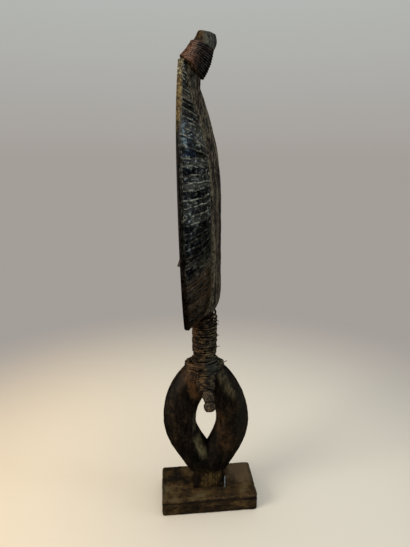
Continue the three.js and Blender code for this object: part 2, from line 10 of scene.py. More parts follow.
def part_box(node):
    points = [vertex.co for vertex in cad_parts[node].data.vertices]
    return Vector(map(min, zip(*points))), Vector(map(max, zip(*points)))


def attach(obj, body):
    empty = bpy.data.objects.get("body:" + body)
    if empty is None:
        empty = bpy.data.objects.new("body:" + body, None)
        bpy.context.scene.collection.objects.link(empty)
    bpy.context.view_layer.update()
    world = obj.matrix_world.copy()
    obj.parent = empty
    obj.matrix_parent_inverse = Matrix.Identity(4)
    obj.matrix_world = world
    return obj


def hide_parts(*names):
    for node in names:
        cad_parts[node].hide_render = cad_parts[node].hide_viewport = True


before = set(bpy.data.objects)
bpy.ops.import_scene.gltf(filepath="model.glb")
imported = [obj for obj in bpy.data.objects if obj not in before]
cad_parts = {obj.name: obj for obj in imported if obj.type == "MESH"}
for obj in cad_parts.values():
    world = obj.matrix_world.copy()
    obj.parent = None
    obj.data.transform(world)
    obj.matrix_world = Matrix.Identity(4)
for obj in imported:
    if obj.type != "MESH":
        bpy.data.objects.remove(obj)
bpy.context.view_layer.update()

mm = 0.001

# The viewpoint: a hand-held picture from the figure's left side, a little above the middle,
# so that the face is seen edge-on and the plinth's top shows.
eye_point = Vector((404.8, -40.9, 389.4)) * mm
looking_down = 0.27109
turned_aside = 0.09192
ahead = Vector(
    (
        -math.cos(turned_aside) * math.cos(looking_down),
        math.sin(turned_aside) * math.cos(looking_down),
        -math.sin(looking_down),
    )
)
camera_data = bpy.data.cameras.new("viewpoint")
camera_data.sensor_width = 36
camera_data.lens = 27.05
camera_data.clip_start = 0.01
camera = bpy.data.objects.new("viewpoint", camera_data)
bpy.context.scene.collection.objects.link(camera)
camera.location = eye_point
camera.rotation_mode = "QUATERNION"
camera.rotation_quaternion = ahead.to_track_quat("-Z", "Y")
bpy.context.scene.camera = camera
bpy.context.scene.view_settings.view_transform = "Standard"


# The floor is a pale sheet, tinted warmer towards the warm window as a painted pool of its light. A warm
# window lights the figure from ahead of the face, a weak blue one from behind the head, and a soft lamp
# hangs overhead.
class Socket:
    """One value in a material: plain arithmetic on it adds the Math nodes."""

    def __init__(self, finish, socket):
        self.finish = finish
        self.socket = socket

    def __add__(self, other):
        return self.finish.maths("ADD", self, other)

    def __sub__(self, other):
        return self.finish.maths("SUBTRACT", self, other)

    def __rsub__(self, other):
        return self.finish.maths("SUBTRACT", other, self)

    def __mul__(self, other):
        return self.finish.maths("MULTIPLY", self, other)

    def __pow__(self, other):
        return self.finish.maths("POWER", self, other)

    def __abs__(self):
        return self.finish.maths("ABSOLUTE", self)

    def most(self, other):
        return self.finish.maths("MAXIMUM", self, other)

    __radd__ = __add__
    __rmul__ = __mul__

    def between(self, low, high):
        """A smooth share: none at the low value and all at the high one, or the other way."""
        settings = {"interpolation_type": "SMOOTHSTEP"}
        return self.finish.node("ShaderNodeMapRange", settings, {0: self, 1: low, 2: high})

    def blend(self, share, other):
        return self.finish.blend(share, self, other)

    def ramp(self, *stops):
        """Colours along the value; a stop is a position and a tone as it looks on a screen."""
        stops = [(position, tone(*colour)) for position, *colour in stops]
        return self.finish.node("ShaderNodeValToRGB", {"stops": stops}, {0: self})


class Finish:
    """A procedural material, built up from the piece's own object coordinates, in metres."""

    def __init__(self, name, **fixed):
        self.material = bpy.data.materials.new(name)
        self.material.use_nodes = True
        self.tree = self.material.node_tree
        self.shader = self.tree.nodes["Principled BSDF"]
        for words, value in fixed.items():
            socket = words.replace("_", " ").title().replace("Ior", "IOR")
            self.shader.inputs[socket].default_value = value
        self.place = self.node("ShaderNodeTexCoord", out="Object")
        split = self.node("ShaderNodeSeparateXYZ", {}, {0: self.place}).socket.node
        self.x, self.y, self.z = (Socket(self, split.outputs[axis]) for axis in "XYZ")

    def node(self, kind, settings=None, sockets=None, out=0):
        made = self.tree.nodes.new(kind)
        for key, value in (settings or {}).items():
            if key == "stops":
                ramp = made.color_ramp
                while len(ramp.elements) < len(value):
                    ramp.elements.new(0.5)
                for element, (position, colour) in zip(ramp.elements, value):
                    element.position = position
                    element.color = (*colour, 1)
            else:
                setattr(made, key, value)
        for key, value in (sockets or {}).items():
            self.feed(made.inputs[key], value)
        return Socket(self, made.outputs[out])

    def feed(self, socket, value):
        if isinstance(value, Socket):
            self.tree.links.new(value.socket, socket)
        elif socket.type == "RGBA" and len(value) == 3:
            socket.default_value = (*value, 1)
        else:
            socket.default_value = value

    def maths(self, operation, first, second=0.0):
        return self.node("ShaderNodeMath", {"operation": operation}, {0: first, 1: second})

    def stretched(self, across, deep, tall, shift):
        """The object coordinates, scaled so that one unit is a cell of this size in mm."""
        settings = {"vector_type": "POINT"}
        sockets = {0: self.place, 1: (shift, shift, shift), 3: (1000 / across, 1000 / deep, 1000 / tall)}
        return self.node("ShaderNodeMapping", settings, sockets)

    def cloud(self, across, deep=None, tall=None, detail=3.0, rough=0.55, shift=0.0, warp=0.0):
        """A noise from 0 to 1, mostly near 0.5, with cells of this size in mm."""
        where = self.stretched(across, deep or across, tall or across, shift)
        sockets = {"Vector": where, "Scale": 1.0, "Detail": detail, "Roughness": rough}
        return self.node("ShaderNodeTexNoise", {}, {**sockets, "Distortion": warp})

    def blend(self, share, first, second):
        settings = {"data_type": "RGBA"}
        return self.node("ShaderNodeMix", settings, {0: share, 6: first, 7: second}, out=2)

    def painted(self, attribute):
        return self.node("ShaderNodeAttribute", {"attribute_name": attribute}, out="Fac")

    def ridge(self):
        """How the surface bulges: about 0.5 where it is flat, less in hollows, more on edges."""
        return self.node("ShaderNodeNewGeometry", out="Pointiness")

    def coat(self, colour, roughness=None, metallic=None, height=None, depth=0.3):
        """Feeds the shader. The height is a bump of this depth in mm."""
        fed = {"Base Color": colour, "Roughness": roughness, "Metallic": metallic}
        if height is not None:
            sockets = {"Strength": 1.0, "Distance": depth * mm, "Height": height}
            fed["Normal"] = self.node("ShaderNodeBump", {}, sockets)
        for socket, value in fed.items():
            if value is not None:
                self.feed(self.shader.inputs[socket], value)
        return self.material


def tone(*colour):
    """The linear colour of a tone given as it looks on a screen."""
    return tuple(((c / 255 + 0.055) / 1.055) ** 2.4 if c > 10 else c / 255 / 12.92 for c in colour)


def alone(piece):
    bpy.ops.object.select_all(action="DESELECT")
    piece.select_set(True)
    bpy.context.view_layer.objects.active = piece


def settle(piece):
    """Puts the object at the origin, with its place in its mesh."""
    alone(piece)
    bpy.ops.object.transform_apply(location=True, rotation=True, scale=True)


def dress(piece, material):
    piece.data.materials.clear()
    piece.data.materials.append(material)


bpy.ops.object.select_all(action="DESELECT")
bpy.ops.mesh.primitive_plane_add(size=6, location=(0, 0, -0.2 * mm))
floor = bpy.context.active_object
floor.name = "floor"
settle(floor)
horizon = (0.375, 0.345, 0.32)
paper = Finish("pale_paper", roughness=1.0, specular_ior_level=0.0, emission_strength=1.0)
fade_from = 0.17
fade_to = 0.65
far = ((paper.x * paper.x + paper.y * paper.y) ** 0.5).between(fade_from, fade_to)
# Painted warm light: the floor is warmer on the side of the warm window.
warm_light_pool = paper.y.between(0.15, -0.5)
sheet = paper.blend(warm_light_pool, tone(218, 211, 199), tone(240, 218, 188))
dress(floor, paper.coat(sheet.blend(far, (0, 0, 0))))
paper.feed(paper.shader.inputs["Emission Color"], paper.blend(far, (0, 0, 0), horizon))
floor.visible_glossy = False

world = bpy.data.worlds.new("pale_room")
bpy.context.scene.world = world
world.use_nodes = True
sky = world.node_tree
direction = sky.nodes.new("ShaderNodeTexCoord")
split = sky.nodes.new("ShaderNodeSeparateXYZ")
wall = sky.nodes.new("ShaderNodeValToRGB")
sky.links.new(direction.outputs["Generated"], split.inputs[0])
sky.links.new(split.outputs["Z"], wall.inputs[0])
sky.links.new(wall.outputs[0], sky.nodes["Background"].inputs["Color"])
wall.color_ramp.elements[0].color = (*horizon, 1)
wall.color_ramp.elements[1].position = 0.32
wall.color_ramp.elements[1].color = (0.46, 0.475, 0.455, 1)
world.cycles_visibility.glossy = False


def lamp(name, place, towards, size, power, colour):
    light = bpy.data.lights.new(name, "AREA")
    light.shape = "RECTANGLE"
    light.size, light.size_y = size
    light.energy = power
    light.color = colour
    holder = bpy.data.objects.new(name, light)
    bpy.context.scene.collection.objects.link(holder)
    holder.visible_camera = False
    holder.location = place
    holder.rotation_mode = "QUATERNION"
    holder.rotation_quaternion = (Vector(towards) - Vector(place)).to_track_quat("-Z", "Y")


lamp("warm_window", (0.5, -1.15, 0.7), (0, 0, 0.3), (0.6, 0.9), 15, (1.0, 0.93, 0.82))
lamp("blue_window", (0.35, 1.3, 0.5), (0, 0, 0.32), (0.3, 0.5), 3.4, (0.72, 0.87, 1.0))
lamp("overhead", (0.1, 0.1, 1.4), (0, 0, 0.2), (0.9, 0.9), 6, (1.0, 0.98, 0.95))


# The plinth is a block of brown wood with rounded, worn edges. A ragged groove runs round its
# sides, and a mortise in its top takes the figure's foot.
plinth_size = Vector((55, 108.8, 20)) * mm
plinth_corner = 3.2 * mm
plinth_arris = 1.8 * mm
plinth_foot_arris = 0.8 * mm
plinth_sag = 1.3 * mm
groove_at = 15.6 * mm
groove_width = 1.7 * mm
groove_depth = 1.5 * mm
mortise_size = Vector((19.6, 38.2, 10)) * mm
mortise_middle = Vector((0, 1.55, 16)) * mm


def pick(piece, kind, test):
    """In edit mode, selects the edges or faces whose middle and direction pass the test."""
    mesh = bmesh.from_edit_mesh(piece.data)
    for element in [*mesh.verts, *mesh.edges, *mesh.faces]:
        element.select = False
    bpy.context.tool_settings.mesh_select_mode = (False, kind == "edge", kind == "face")
    if kind == "edge":
        for edge in mesh.edges:
            a, b = (v.co for v in edge.verts)
            edge.select_set(test((a + b) / 2, (b - a).normalized()))
    else:
        for face in mesh.faces:
            face.select_set(test(face.calc_center_median(), face.normal))
    mesh.select_flush_mode()
    bmesh.update_edit_mesh(piece.data)


def finished(piece, kind, **settings):
    """Adds a modifier and applies it, as by hand."""
    alone(piece)
    modifier = piece.modifiers.new(kind.lower(), kind)
    for key, value in settings.items():
        setattr(modifier, key, value)
    bpy.ops.object.modifier_apply(modifier=modifier.name)


def roughened(piece, grain, depth, level=0.5):
    """Moves the surface in and out by a cloud of this grain, both in mm."""
    cloud = bpy.data.textures.new("cloud", "CLOUDS")
    cloud.noise_scale = grain * mm
    cloud.noise_depth = 2
    settings = {"texture": cloud, "strength": depth * mm, "mid_level": level, "texture_coords": "LOCAL"}
    finished(piece, "DISPLACE", **settings)


def smooth(piece, degrees=None):
    """Shades the piece smooth, all over or where it bends by less than some degrees."""
    alone(piece)
    if degrees is None:
        bpy.ops.object.shade_smooth()
    else:
        bpy.ops.object.shade_smooth_by_angle(angle=math.radians(degrees))


def eased(value):
    """Rises from 0 to 1 with soft ends as the value does."""
    t = min(1.0, max(0.0, value))
    return t * t * (3 - 2 * t)


bpy.ops.object.select_all(action="DESELECT")
bpy.ops.mesh.primitive_cube_add(size=1, location=(0, 0, plinth_size.z / 2))
plinth = bpy.context.active_object
plinth.name = "plinth_block"
plinth.scale = plinth_size
settle(plinth)
bpy.ops.object.mode_set(mode="EDIT")
pick(plinth, "edge", lambda middle, along: abs(along.z) > 0.9)
bpy.ops.mesh.bevel(offset=plinth_corner, segments=5, affect="EDGES")
pick(plinth, "edge", lambda middle, along: middle.z > plinth_size.z - 0.1 * mm)
bpy.ops.mesh.bevel(offset=plinth_arris, segments=3, affect="EDGES")
pick(plinth, "edge", lambda middle, along: middle.z < 0.1 * mm)
bpy.ops.mesh.bevel(offset=plinth_foot_arris, segments=2, affect="EDGES")
for height in (groove_at - groove_width / 2, groove_at + groove_width / 2):
    bpy.ops.mesh.select_all(action="SELECT")
    bpy.ops.mesh.bisect(plane_co=(0, 0, height), plane_no=(0, 0, 1))
pick(
    plinth,
    "face",
    lambda middle, normal: abs(middle.z - groove_at) < groove_width / 2 and abs(normal.z) < 0.3,
)
bpy.ops.mesh.extrude_region_shrink_fatten(TRANSFORM_OT_shrink_fatten={"value": -groove_depth})
bpy.ops.mesh.select_all(action="SELECT")
bpy.ops.mesh.normals_make_consistent(inside=False)
bpy.ops.object.mode_set(mode="OBJECT")
bpy.ops.mesh.primitive_cube_add(size=1, location=mortise_middle)
mortise = bpy.context.active_object
mortise.scale = mortise_size
settle(mortise)
finished(plinth, "BOOLEAN", object=mortise, operation="DIFFERENCE", solver="EXACT")
bpy.data.objects.remove(mortise)
finished(plinth, "REMESH", mode="VOXEL", voxel_size=0.8 * mm)
finished(plinth, "SMOOTH", factor=0.5, iterations=2)
for vertex in plinth.data.vertices:
    x, y, z = vertex.co
    near_groove = eased((z - 8 * mm) / (6 * mm)) * eased((plinth_size.z - z) / (3 * mm))
    vertex.co.z += near_groove * plinth_sag * noise.noise(Vector((x / (20 * mm), y / (20 * mm), 3.0)))
roughened(plinth, 16, 0.7, 0.56)
roughened(plinth, 4, 0.5, 0.5)
roughened(plinth, 1.8, 0.16, 0.5)
for vertex in plinth.data.vertices:
    vertex.co.z = max(0.0, vertex.co.z)
smooth(plinth)

worn_wood = Finish("worn_plinth_wood", specular_ior_level=0.2)
grain = worn_wood.cloud(4, 11, 4, detail=5.0, rough=0.7)
patch = worn_wood.cloud(18, 22, 12, detail=5.0, rough=0.6, shift=3.0)
speck = worn_wood.cloud(2.2, 2.8, 2.2, detail=4.0, rough=0.7, shift=7.0)
mottle = grain * 0.25 + speck * 0.2 + patch * 0.55
shade = mottle.ramp((0.41, 18, 11, 3), (0.5, 54, 38, 13), (0.59, 90, 69, 36))
dusty = patch.between(0.52, 0.66) * worn_wood.z.between(0.016, 0.0195)
shade = shade.blend(dusty * 0.45, tone(64, 66, 50))
pink = (worn_wood.y + patch * 0.03).between(0.034, 0.05) * worn_wood.x.between(0.012, -0.004)
shade = shade.blend(pink * 0.75, tone(92, 74, 52))
crack = worn_wood.z + grain * 0.0035
line = crack.between(0.0185, 0.0190) * crack.between(0.0198, 0.0192)
line = line * worn_wood.y.between(-0.03, -0.01)
# Painted shade darkens the groove round the sides.
groove_shade = (worn_wood.z + patch * 0.0014).between(0.0180, 0.0168)
groove_shade = groove_shade * (worn_wood.z + patch * 0.0014).between(0.0146, 0.0156)
shade = shade.blend(line * 0.7 + groove_shade * 0.75, (0.004, 0.003, 0.002))
# Darker towards the ends, the sides and the bottom.
ends = (abs(worn_wood.y) + grain * 0.005).between(0.0515, 0.0555)
sides = (abs(worn_wood.x) + grain * 0.005).between(0.0265, 0.0300)
low = (worn_wood.z + grain * 0.003).between(0.0055, 0.002)
darker_ends_sides_and_foot = ends.most(low).most(sides * 0.5)
shade = shade.blend(darker_ends_sides_and_foot * 0.55, tone(9, 5, 3))
bulge = worn_wood.ridge() + speck * 0.02 - 0.01
# Painted shade in the hollows.
shade = shade.blend(bulge.between(0.495, 0.47) * 0.9, tone(5, 3, 1))
shade = shade.blend(bulge.between(0.508, 0.53) * speck.between(0.44, 0.6) * 0.35, tone(96, 76, 44))
dress(plinth, worn_wood.coat(shade, 0.55 + speck * 0.35, height=grain * 0.5 + speck * 0.5, depth=1.1))
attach(plinth, "root")
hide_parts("plinth")


# The figure itself is one carving in dark wood: the foot, the openwork ring with its bevelled
# hole, the neck, the leaf-shaped board of the head and the stub inside the topknot.
under_lashing = 181 * mm


def copied(node, name):
    """A merged copy of a CAD node's mesh, free to be worked on."""
    piece = bpy.data.objects.new(name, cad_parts[node].data.copy())
    bpy.context.scene.collection.objects.link(piece)
    piece.data.materials.clear()
    alone(piece)
    bpy.ops.object.mode_set(mode="EDIT")
    bpy.ops.mesh.select_all(action="SELECT")
    bpy.ops.mesh.remove_doubles(threshold=0.02 * mm)
    bpy.ops.object.mode_set(mode="OBJECT")
    return piece


def cut_at(piece, height, keep_above):
    alone(piece)
    bpy.ops.object.mode_set(mode="EDIT")
    bpy.ops.mesh.select_all(action="SELECT")
    bpy.ops.mesh.bisect(
        plane_co=(0, 0, height),
        plane_no=(0, 0, 1),
        use_fill=True,
        clear_inner=keep_above,
        clear_outer=not keep_above,
    )
    bpy.ops.object.mode_set(mode="OBJECT")


def joined(pieces, name):
    bpy.ops.object.select_all(action="DESELECT")
    for piece in pieces:
        piece.select_set(True)
    bpy.context.view_layer.objects.active = pieces[0]
    bpy.ops.object.join()
    whole = bpy.context.active_object
    whole.name = name
    return whole


ring = copied("wooden_figure", "ring")
cut_at(ring, under_lashing, keep_above=False)
finished(ring, "REMESH", mode="VOXEL", voxel_size=0.9 * mm)
finished(ring, "SMOOTH", factor=0.5, iterations=10)
roughened(ring, 24, 1.1, -0.02)
roughened(ring, 6, 0.4, 0.5)
smooth(ring)
board = copied("wooden_figure", "board")
cut_at(board, under_lashing, keep_above=True)
figure = joined([ring, board], "carved_figure")

dark_wood = Finish("handled_dark_wood", specular_ior_level=0.14)
grain = dark_wood.cloud(4, 5, 46, detail=6.0, rough=0.65)
patch = dark_wood.cloud(20, 18, 26, detail=5.0, rough=0.6, shift=2.0)
speck = dark_wood.cloud(1.8, 1.8, 3.2, detail=4.0, rough=0.65, shift=5.0)
blotch = dark_wood.cloud(7, 7, 10, detail=4.0, rough=0.65, shift=11.0)
mottle = grain * 0.25 + speck * 0.25 + patch * 0.2 + blotch * 0.3
shade = mottle.ramp((0.41, 3, 2, 1), (0.5, 17, 11, 5), (0.60, 48, 34, 18))


def zone(finish, y0, y1, z0, z1, soft, slant=0.0):
    """A share of one inside a leaning box of the side view, with soft broken edges; in mm."""
    middle = (z0 + z1) / 2 * mm
    grain = soft * 1.6
    broken = finish.cloud(grain, grain, grain * 1.5, detail=5.0, rough=0.7, shift=y0 * 0.37) - 0.5
    y = finish.y - (finish.z - middle) * slant + broken * (soft * 2.4 * mm)
    z = finish.z + broken * (soft * 4 * mm)
    inside = y.between((y0 - soft) * mm, y0 * mm) * y.between((y1 + soft) * mm, y1 * mm)
    tall = soft * 2
    across = z.between((z0 - tall) * mm, z0 * mm) * z.between((z1 + tall) * mm, z1 * mm)
    return inside * across


rust = tone(76, 50, 22)
rust_left = zone(dark_wood, -20, -17, 146, 160, 7, -0.4)
rust_right = zone(dark_wood, 12, 18, 80, 112, 8, -0.22)
shade = shade.blend((rust_left * 0.9 + rust_right * 0.3) * (blotch + speck).between(0.75, 1.1), rust)
# Painted light: a grey-green glow on the valley of the bevelled hole, as from the window at the right.
valley_painted_light = zone(dark_wood, -11, -9, 66, 84, 5, -0.3)
# A mottle shared by the painted light and the dust.
dust_and_light_mottle = (grain * 0.5 + speck * 0.5).between(0.42, 0.58)
shade = shade.blend(valley_painted_light * (0.45 + dust_and_light_mottle * 0.55), tone(98, 90, 62))
edge_line = zone(dark_wood, -17, -15.5, 100, 118, 3, 0.1)
shade = shade.blend(edge_line * 0.45, tone(74, 70, 54))
dusty = zone(dark_wood, 17, 21, 146, 162, 6, -0.5)
shade = shade.blend(dusty * (0.15 + dust_and_light_mottle * 0.7), tone(86, 76, 54))
back_edge = zone(dark_wood, 36, 60, 60, 150, 7)
shade = shade.blend(back_edge * 0.4, tone(40, 38, 28))
# Painted light on the front of the foot.
foot_painted_light = zone(dark_wood, -5, 9, 26, 33, 7)
shade = shade.blend(foot_painted_light * dust_and_light_mottle * 0.8, tone(84, 66, 34))
foot_dark = zone(dark_wood, -30, -12, 10, 34, 4)
shade = shade.blend(foot_dark * 0.6, tone(14, 8, 5))
dress(figure, dark_wood.coat(shade, 0.44 + speck * 0.4, height=grain * 0.5 + speck * 0.5, depth=0.9))
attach(figure, "root")
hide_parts("wooden_figure")


# The back of the head is domed, and narrow strips of blackened brass are laid across it from
# the raised middle band to the rim, lowest first, each lapped over the one below.
chin = 220 * mm
head_high = 253 * mm
crown = chin + head_high
leaf_half_wide = 75 * mm
leaf_waist = chin + 0.352 * head_high
crown_half_wide = 14 * mm
rim_ahead = 30.6 * mm
rim_wide = 5 * mm
belly = chin + 0.73 * head_high
dish_deep = 13 * mm
dome_deep = 27.8 * mm
crown_dome = 7 * mm
band_half_wide = 12 * mm
band_high = 9.5 * mm
board_cover = 1.2 * mm
head_turn = math.radians(-1.8)
strips_foot = 222 * mm
strips_top = 470 * mm
strip_thick = 0.3 * mm
strip_lap = 0.35 * mm
strip_gap = 0.1 * mm

down = np.linspace(0, 1, 200)[:, None]
upper_leaf = (
    (1 - down) ** 3 * np.array((crown_half_wide, crown))
    + 3 * (1 - down) ** 2 * down * np.array((0.36 * leaf_half_wide, crown - 0.132 * head_high))
    + 3 * (1 - down) * down**2 * np.array((leaf_half_wide, leaf_waist + 0.29 * head_high))
    + down**3 * np.array((leaf_half_wide, leaf_waist))
)
lower_leaf = (
    (1 - down) ** 3 * np.array((leaf_half_wide, leaf_waist))
    + 3 * (1 - down) ** 2 * down * np.array((leaf_half_wide, leaf_waist - 0.167 * head_high))
    + 3 * (1 - down) * down**2 * np.array((0.61 * leaf_half_wide, chin))
    + down**3 * np.array((0, chin))
)
leaf = np.vstack([upper_leaf, lower_leaf[1:]])
run = np.gradient(leaf, axis=0)
run /= np.linalg.norm(run, axis=1)[:, None]


inner_leaf = leaf + np.stack([run[:, 1], -run[:, 0]], 1) * board_cover


def half_wide(z):
    """Half the wooden leaf's width at this height, inside the sheet that covers its edge."""
    return float(np.interp(z, inner_leaf[::-1, 1], inner_leaf[::-1, 0]))


def rim_front(z):
    below = max(0.0, belly - z) / (belly - chin)
    above = max(0.0, z - belly) / (crown - belly)
    return -rim_ahead + 5.4 * mm * below**2 + 2.8 * mm * above**2


def band_half(z):
    """Half the raised band's width at this height."""
    return min(band_half_wide, 0.7 * half_wide(z))


def face_form(x, z):
    up = (z - chin) / head_high
    dish = dish_deep * eased(up / 0.3) * eased((1 - up) / 0.28)
    share = min(1.0, abs(x) / max(half_wide(z), mm))
    return rim_front(z) + board_cover + dish * (1 - share**2)


def back_form(x, z):
    half = max(half_wide(z), mm)
    rise = min(1.0, max(0.0, (z - chin) / (0.195 * head_high)))
    fill = 0.9 + 0.1 * eased((z - chin) / (0.52 * head_high))
    fall = min(1.0, max(0.0, (z - chin - 0.514 * head_high) / (0.486 * head_high)))
    dome = dome_deep * (1 - (1 - rise) ** 3) * fill - 1.17 * dome_deep * fall**2.22
    if fall > 0:
        dome = max(crown_dome, dome)
    share = min(1.0, abs(x) / half)
    ridge = min(1.0, abs(x) / min(band_half_wide, 0.7 * half))
    band = band_high * eased((z - chin - 0.03 * head_high) / (0.05 * head_high))
    flank = rim_front(z) + rim_wide - board_cover + dome * (1 - share**2.2)
    return flank + band * (1 - ridge**2.4)


def off_form(form, x, z, lift):
    """A point that stands off the board's face or back by a lift, square to its surface."""
    step = 0.4 * mm
    slope_x = (form(x + step, z) - form(x - step, z)) / (2 * step)
    slope_z = (form(x, z + step) - form(x, z - step)) / (2 * step)
    side = 1 if form is back_form else -1
    square = Vector((-slope_x, 1, -slope_z)).normalized() * side
    return Vector((x, form(x, z), z)) + square * lift


def rim_place(z, outset):
    """A point beside the leaf's edge at this height, outside it by an outset."""
    row = float(np.interp(-z, -leaf[:, 1], np.arange(len(leaf))))
    side_run = run[int(row)]
    x = float(np.interp(row, np.arange(len(leaf)), leaf[:, 0]))
    return x - side_run[1] * outset, z + side_run[0] * outset


def ripple(x, z, grain, seed):
    """A smooth random height from -1 to 1, with cells of this grain in mm."""
    scale = 1 / (grain * mm)
    return noise.noise(Vector((x * scale, z * scale, seed * 3.7)))


def fold(x, z, grain, seed):
    """Sharp creases with hollows between them, from -1 to 1."""
    return 1 - 3.2 * abs(ripple(x, z, grain, seed))


def fan(level):
    """How steeply an edge at this height climbs outward, as strips laid square to the rim do."""
    climb = 0.30 * eased((level - 386 * mm) / (20 * mm)) - 0.20 * eased((382 * mm - level) / (90 * mm))
    return climb + 0.11 * noise.noise(Vector((level / (8 * mm), 2.5, 0)))


def edge_height(level, x, inner):
    middle = 0.5 * (inner(level) + half_wide(level) - strip_gap)
    return level + fan(level) * (x - middle)


def flat_grid(name, columns, rows):
    """A flat sheet, one unit square about the origin, with this many cells."""
    bpy.ops.object.select_all(action="DESELECT")
    bpy.ops.mesh.primitive_grid_add(x_subdivisions=columns, y_subdivisions=rows, size=1)
    sheet = bpy.context.active_object
    sheet.name = name
    return sheet


def laid_strip(form, side, low, high, inner, tint, crumple, reach):
    """One strip from the middle to the rim: a flat grid, cut, bent and pressed onto the form.
    Its outer end is folded forward over the rim by a reach, if any."""
    columns = 40
    wrapped = 5 if reach > 0 else 0
    rows = 9 if high - low > 5 * mm else 6
    strip = flat_grid("strip", columns, rows)
    tints = strip.data.attributes.new("tint", "FLOAT", "POINT")
    edges = strip.data.attributes.new("edge", "FLOAT", "POINT")
    wander = 0.25 * (high - low)
    glow = 1.0 if (tint * 7.3) % 1 > 0.55 else 0.45
    for index, vertex in enumerate(strip.data.vertices):
        column, up = round((vertex.co.x + 0.5) * columns), vertex.co.y + 0.5
        along = min(1.0, column / (columns - wrapped))
        x, z = 0.0, low + (high - low) * up
        for guess in range(4):
            outer = max(half_wide(z) - strip_gap, inner(z) + 0.4 * mm)
            x = inner(z) + (outer - inner(z)) * along
            z = edge_height(low, x, inner) * (1 - up) + edge_height(high, x, inner) * up
            z += wander * ripple(x, low, 13, tint * 50)
            z = min(strips_top + 1 * mm, max(strips_foot - 0.6 * mm, z))
        curl = abs(2 * up - 1) ** 3
        lift = 0.66 * mm - 0.34 * mm * up + 0.26 * mm * curl
        creases = 0.75 * fold(x, z, 8, tint * 9) + 0.5 * fold(x, z, 3.4, tint * 5)
        lift = max(0.35 * mm, lift + crumple * mm * creases)
        if column <= columns - wrapped:
            point = off_form(form, x, z, lift)
        else:
            over = (column - columns + wrapped) / wrapped
            wavy = 0.5 + 0.5 * ripple(tint * 0.1, z, 3, 8)
            px, pz = rim_place(z, (0.2 + 0.35 * math.sin(math.pi * min(1, over * 1.4) / 2)) * mm)
            py = rim_front(z) + rim_wide + strip_thick - reach * over * (0.6 + 0.6 * wavy)
            point = Vector((px, py, pz))
        vertex.co = Vector((side * point.x, point.y, point.z))
        tints.data[index].value = tint
        # The strip's lower edge is lighter, as rubbed metal with a painted highlight; just under the next
        # strip's lapped edge it gets painted shadow with grime, and an end folded over the rim is marked
        # dark.
        rubbed_edge_and_highlight = glow * max(0.0, 1 - up * (high - low) / (1.1 * mm))
        lap_shadow_and_grime = 0.8 * eased(1 - ((1 - up) * (high - low) - 0.5 * mm) / (0.9 * mm))
        edges.data[index].value = -1.0 if column > columns - wrapped + 1 else rubbed_edge_and_highlight - lap_shadow_and_grime
    return strip


def islands_face(piece, backward):
    """Flips each open sheet in the piece that looks the wrong way, forward or back."""
    mesh = bmesh.new()
    mesh.from_mesh(piece.data)
    mesh.faces.ensure_lookup_table()
    seen = set()
    for first in mesh.faces:
        if first.index in seen:
            continue
        sheet, front = {first}, [first]
        while front:
            face = front.pop()
            for edge in face.edges:
                for other in edge.link_faces:
                    if other not in sheet:
                        sheet.add(other)
                        front.append(other)
        seen.update(face.index for face in sheet)
        facing = sum(face.normal.y * face.calc_area() for face in sheet)
        if (facing > 0) != backward:
            bmesh.ops.reverse_faces(mesh, faces=list(sheet))
    mesh.to_mesh(piece.data)
    mesh.free()


def strip_levels(pitch, seed):
    """Heights of the strips' lower edges, uneven as hand-cut strips are."""
    chance = random.Random(seed)
    levels = [strips_foot]
    while levels[-1] < strips_top - 1.5 * mm:
        levels.append(levels[-1] + pitch(levels[-1]) * chance.uniform(0.75, 1.3))
    levels[-1] = strips_top
    return levels


def back_pitch(z):
    if z < 290 * mm:
        return 3.0 * mm
    if z < 330 * mm:
        return 4.6 * mm
    if z < 425 * mm:
        return 6.6 * mm
    return 3.8 * mm


def outwards(piece, merge=0.0):
    """Merges points nearer than this, in mm, and turns the faces outwards."""
    alone(piece)
    bpy.ops.object.mode_set(mode="EDIT")
    bpy.ops.mesh.select_all(action="SELECT")
    if merge > 0:
        bpy.ops.mesh.remove_doubles(threshold=merge * mm)
    bpy.ops.mesh.normals_make_consistent(inside=False)
    bpy.ops.object.mode_set(mode="OBJECT")


def turn_with_head(piece):
    piece.data.transform(Matrix.Rotation(head_turn, 4, "Z"))


def strips(name, form, side, levels, inner, crumple, reach, seed):
    """All the strips of one side of the face or back, as one piece."""
    chance = random.Random(seed)
    made = []
    for low, high in zip(levels, levels[1:]):
        middle = (low + high) / 2
        grip = reach(middle) * chance.uniform(0.6, 1.25)
        low, high = low - strip_lap, high + strip_lap
        made.append(laid_strip(form, side, low, high, inner, chance.random(), crumple(middle), grip))
    piece = joined(made, name)
    outwards(piece)
    islands_face(piece, form is back_form)
    finished(piece, "SOLIDIFY", thickness=strip_thick, offset=-1)
    turn_with_head(piece)
    smooth(piece, 16)
    return piece


def beside_band(z):
    return band_half(z) + 0.3 * mm


def back_crumple(z):
    return 0.42 * eased((z - 280 * mm) / (45 * mm)) * eased((440 * mm - z) / (30 * mm)) + 0.13


def back_reach(z):
    return 3.4 * mm * eased((436 * mm - z) / (40 * mm)) + 0.25 * mm


back_pieces = []
for side, word in ((1, "left"), (-1, "right")):
    name, levels = "back_strips_laid_" + word, strip_levels(back_pitch, 11 + side)
    laid = strips(name, back_form, side, levels, beside_band, back_crumple, back_reach, 20 + side)
    back_pieces.append(laid)

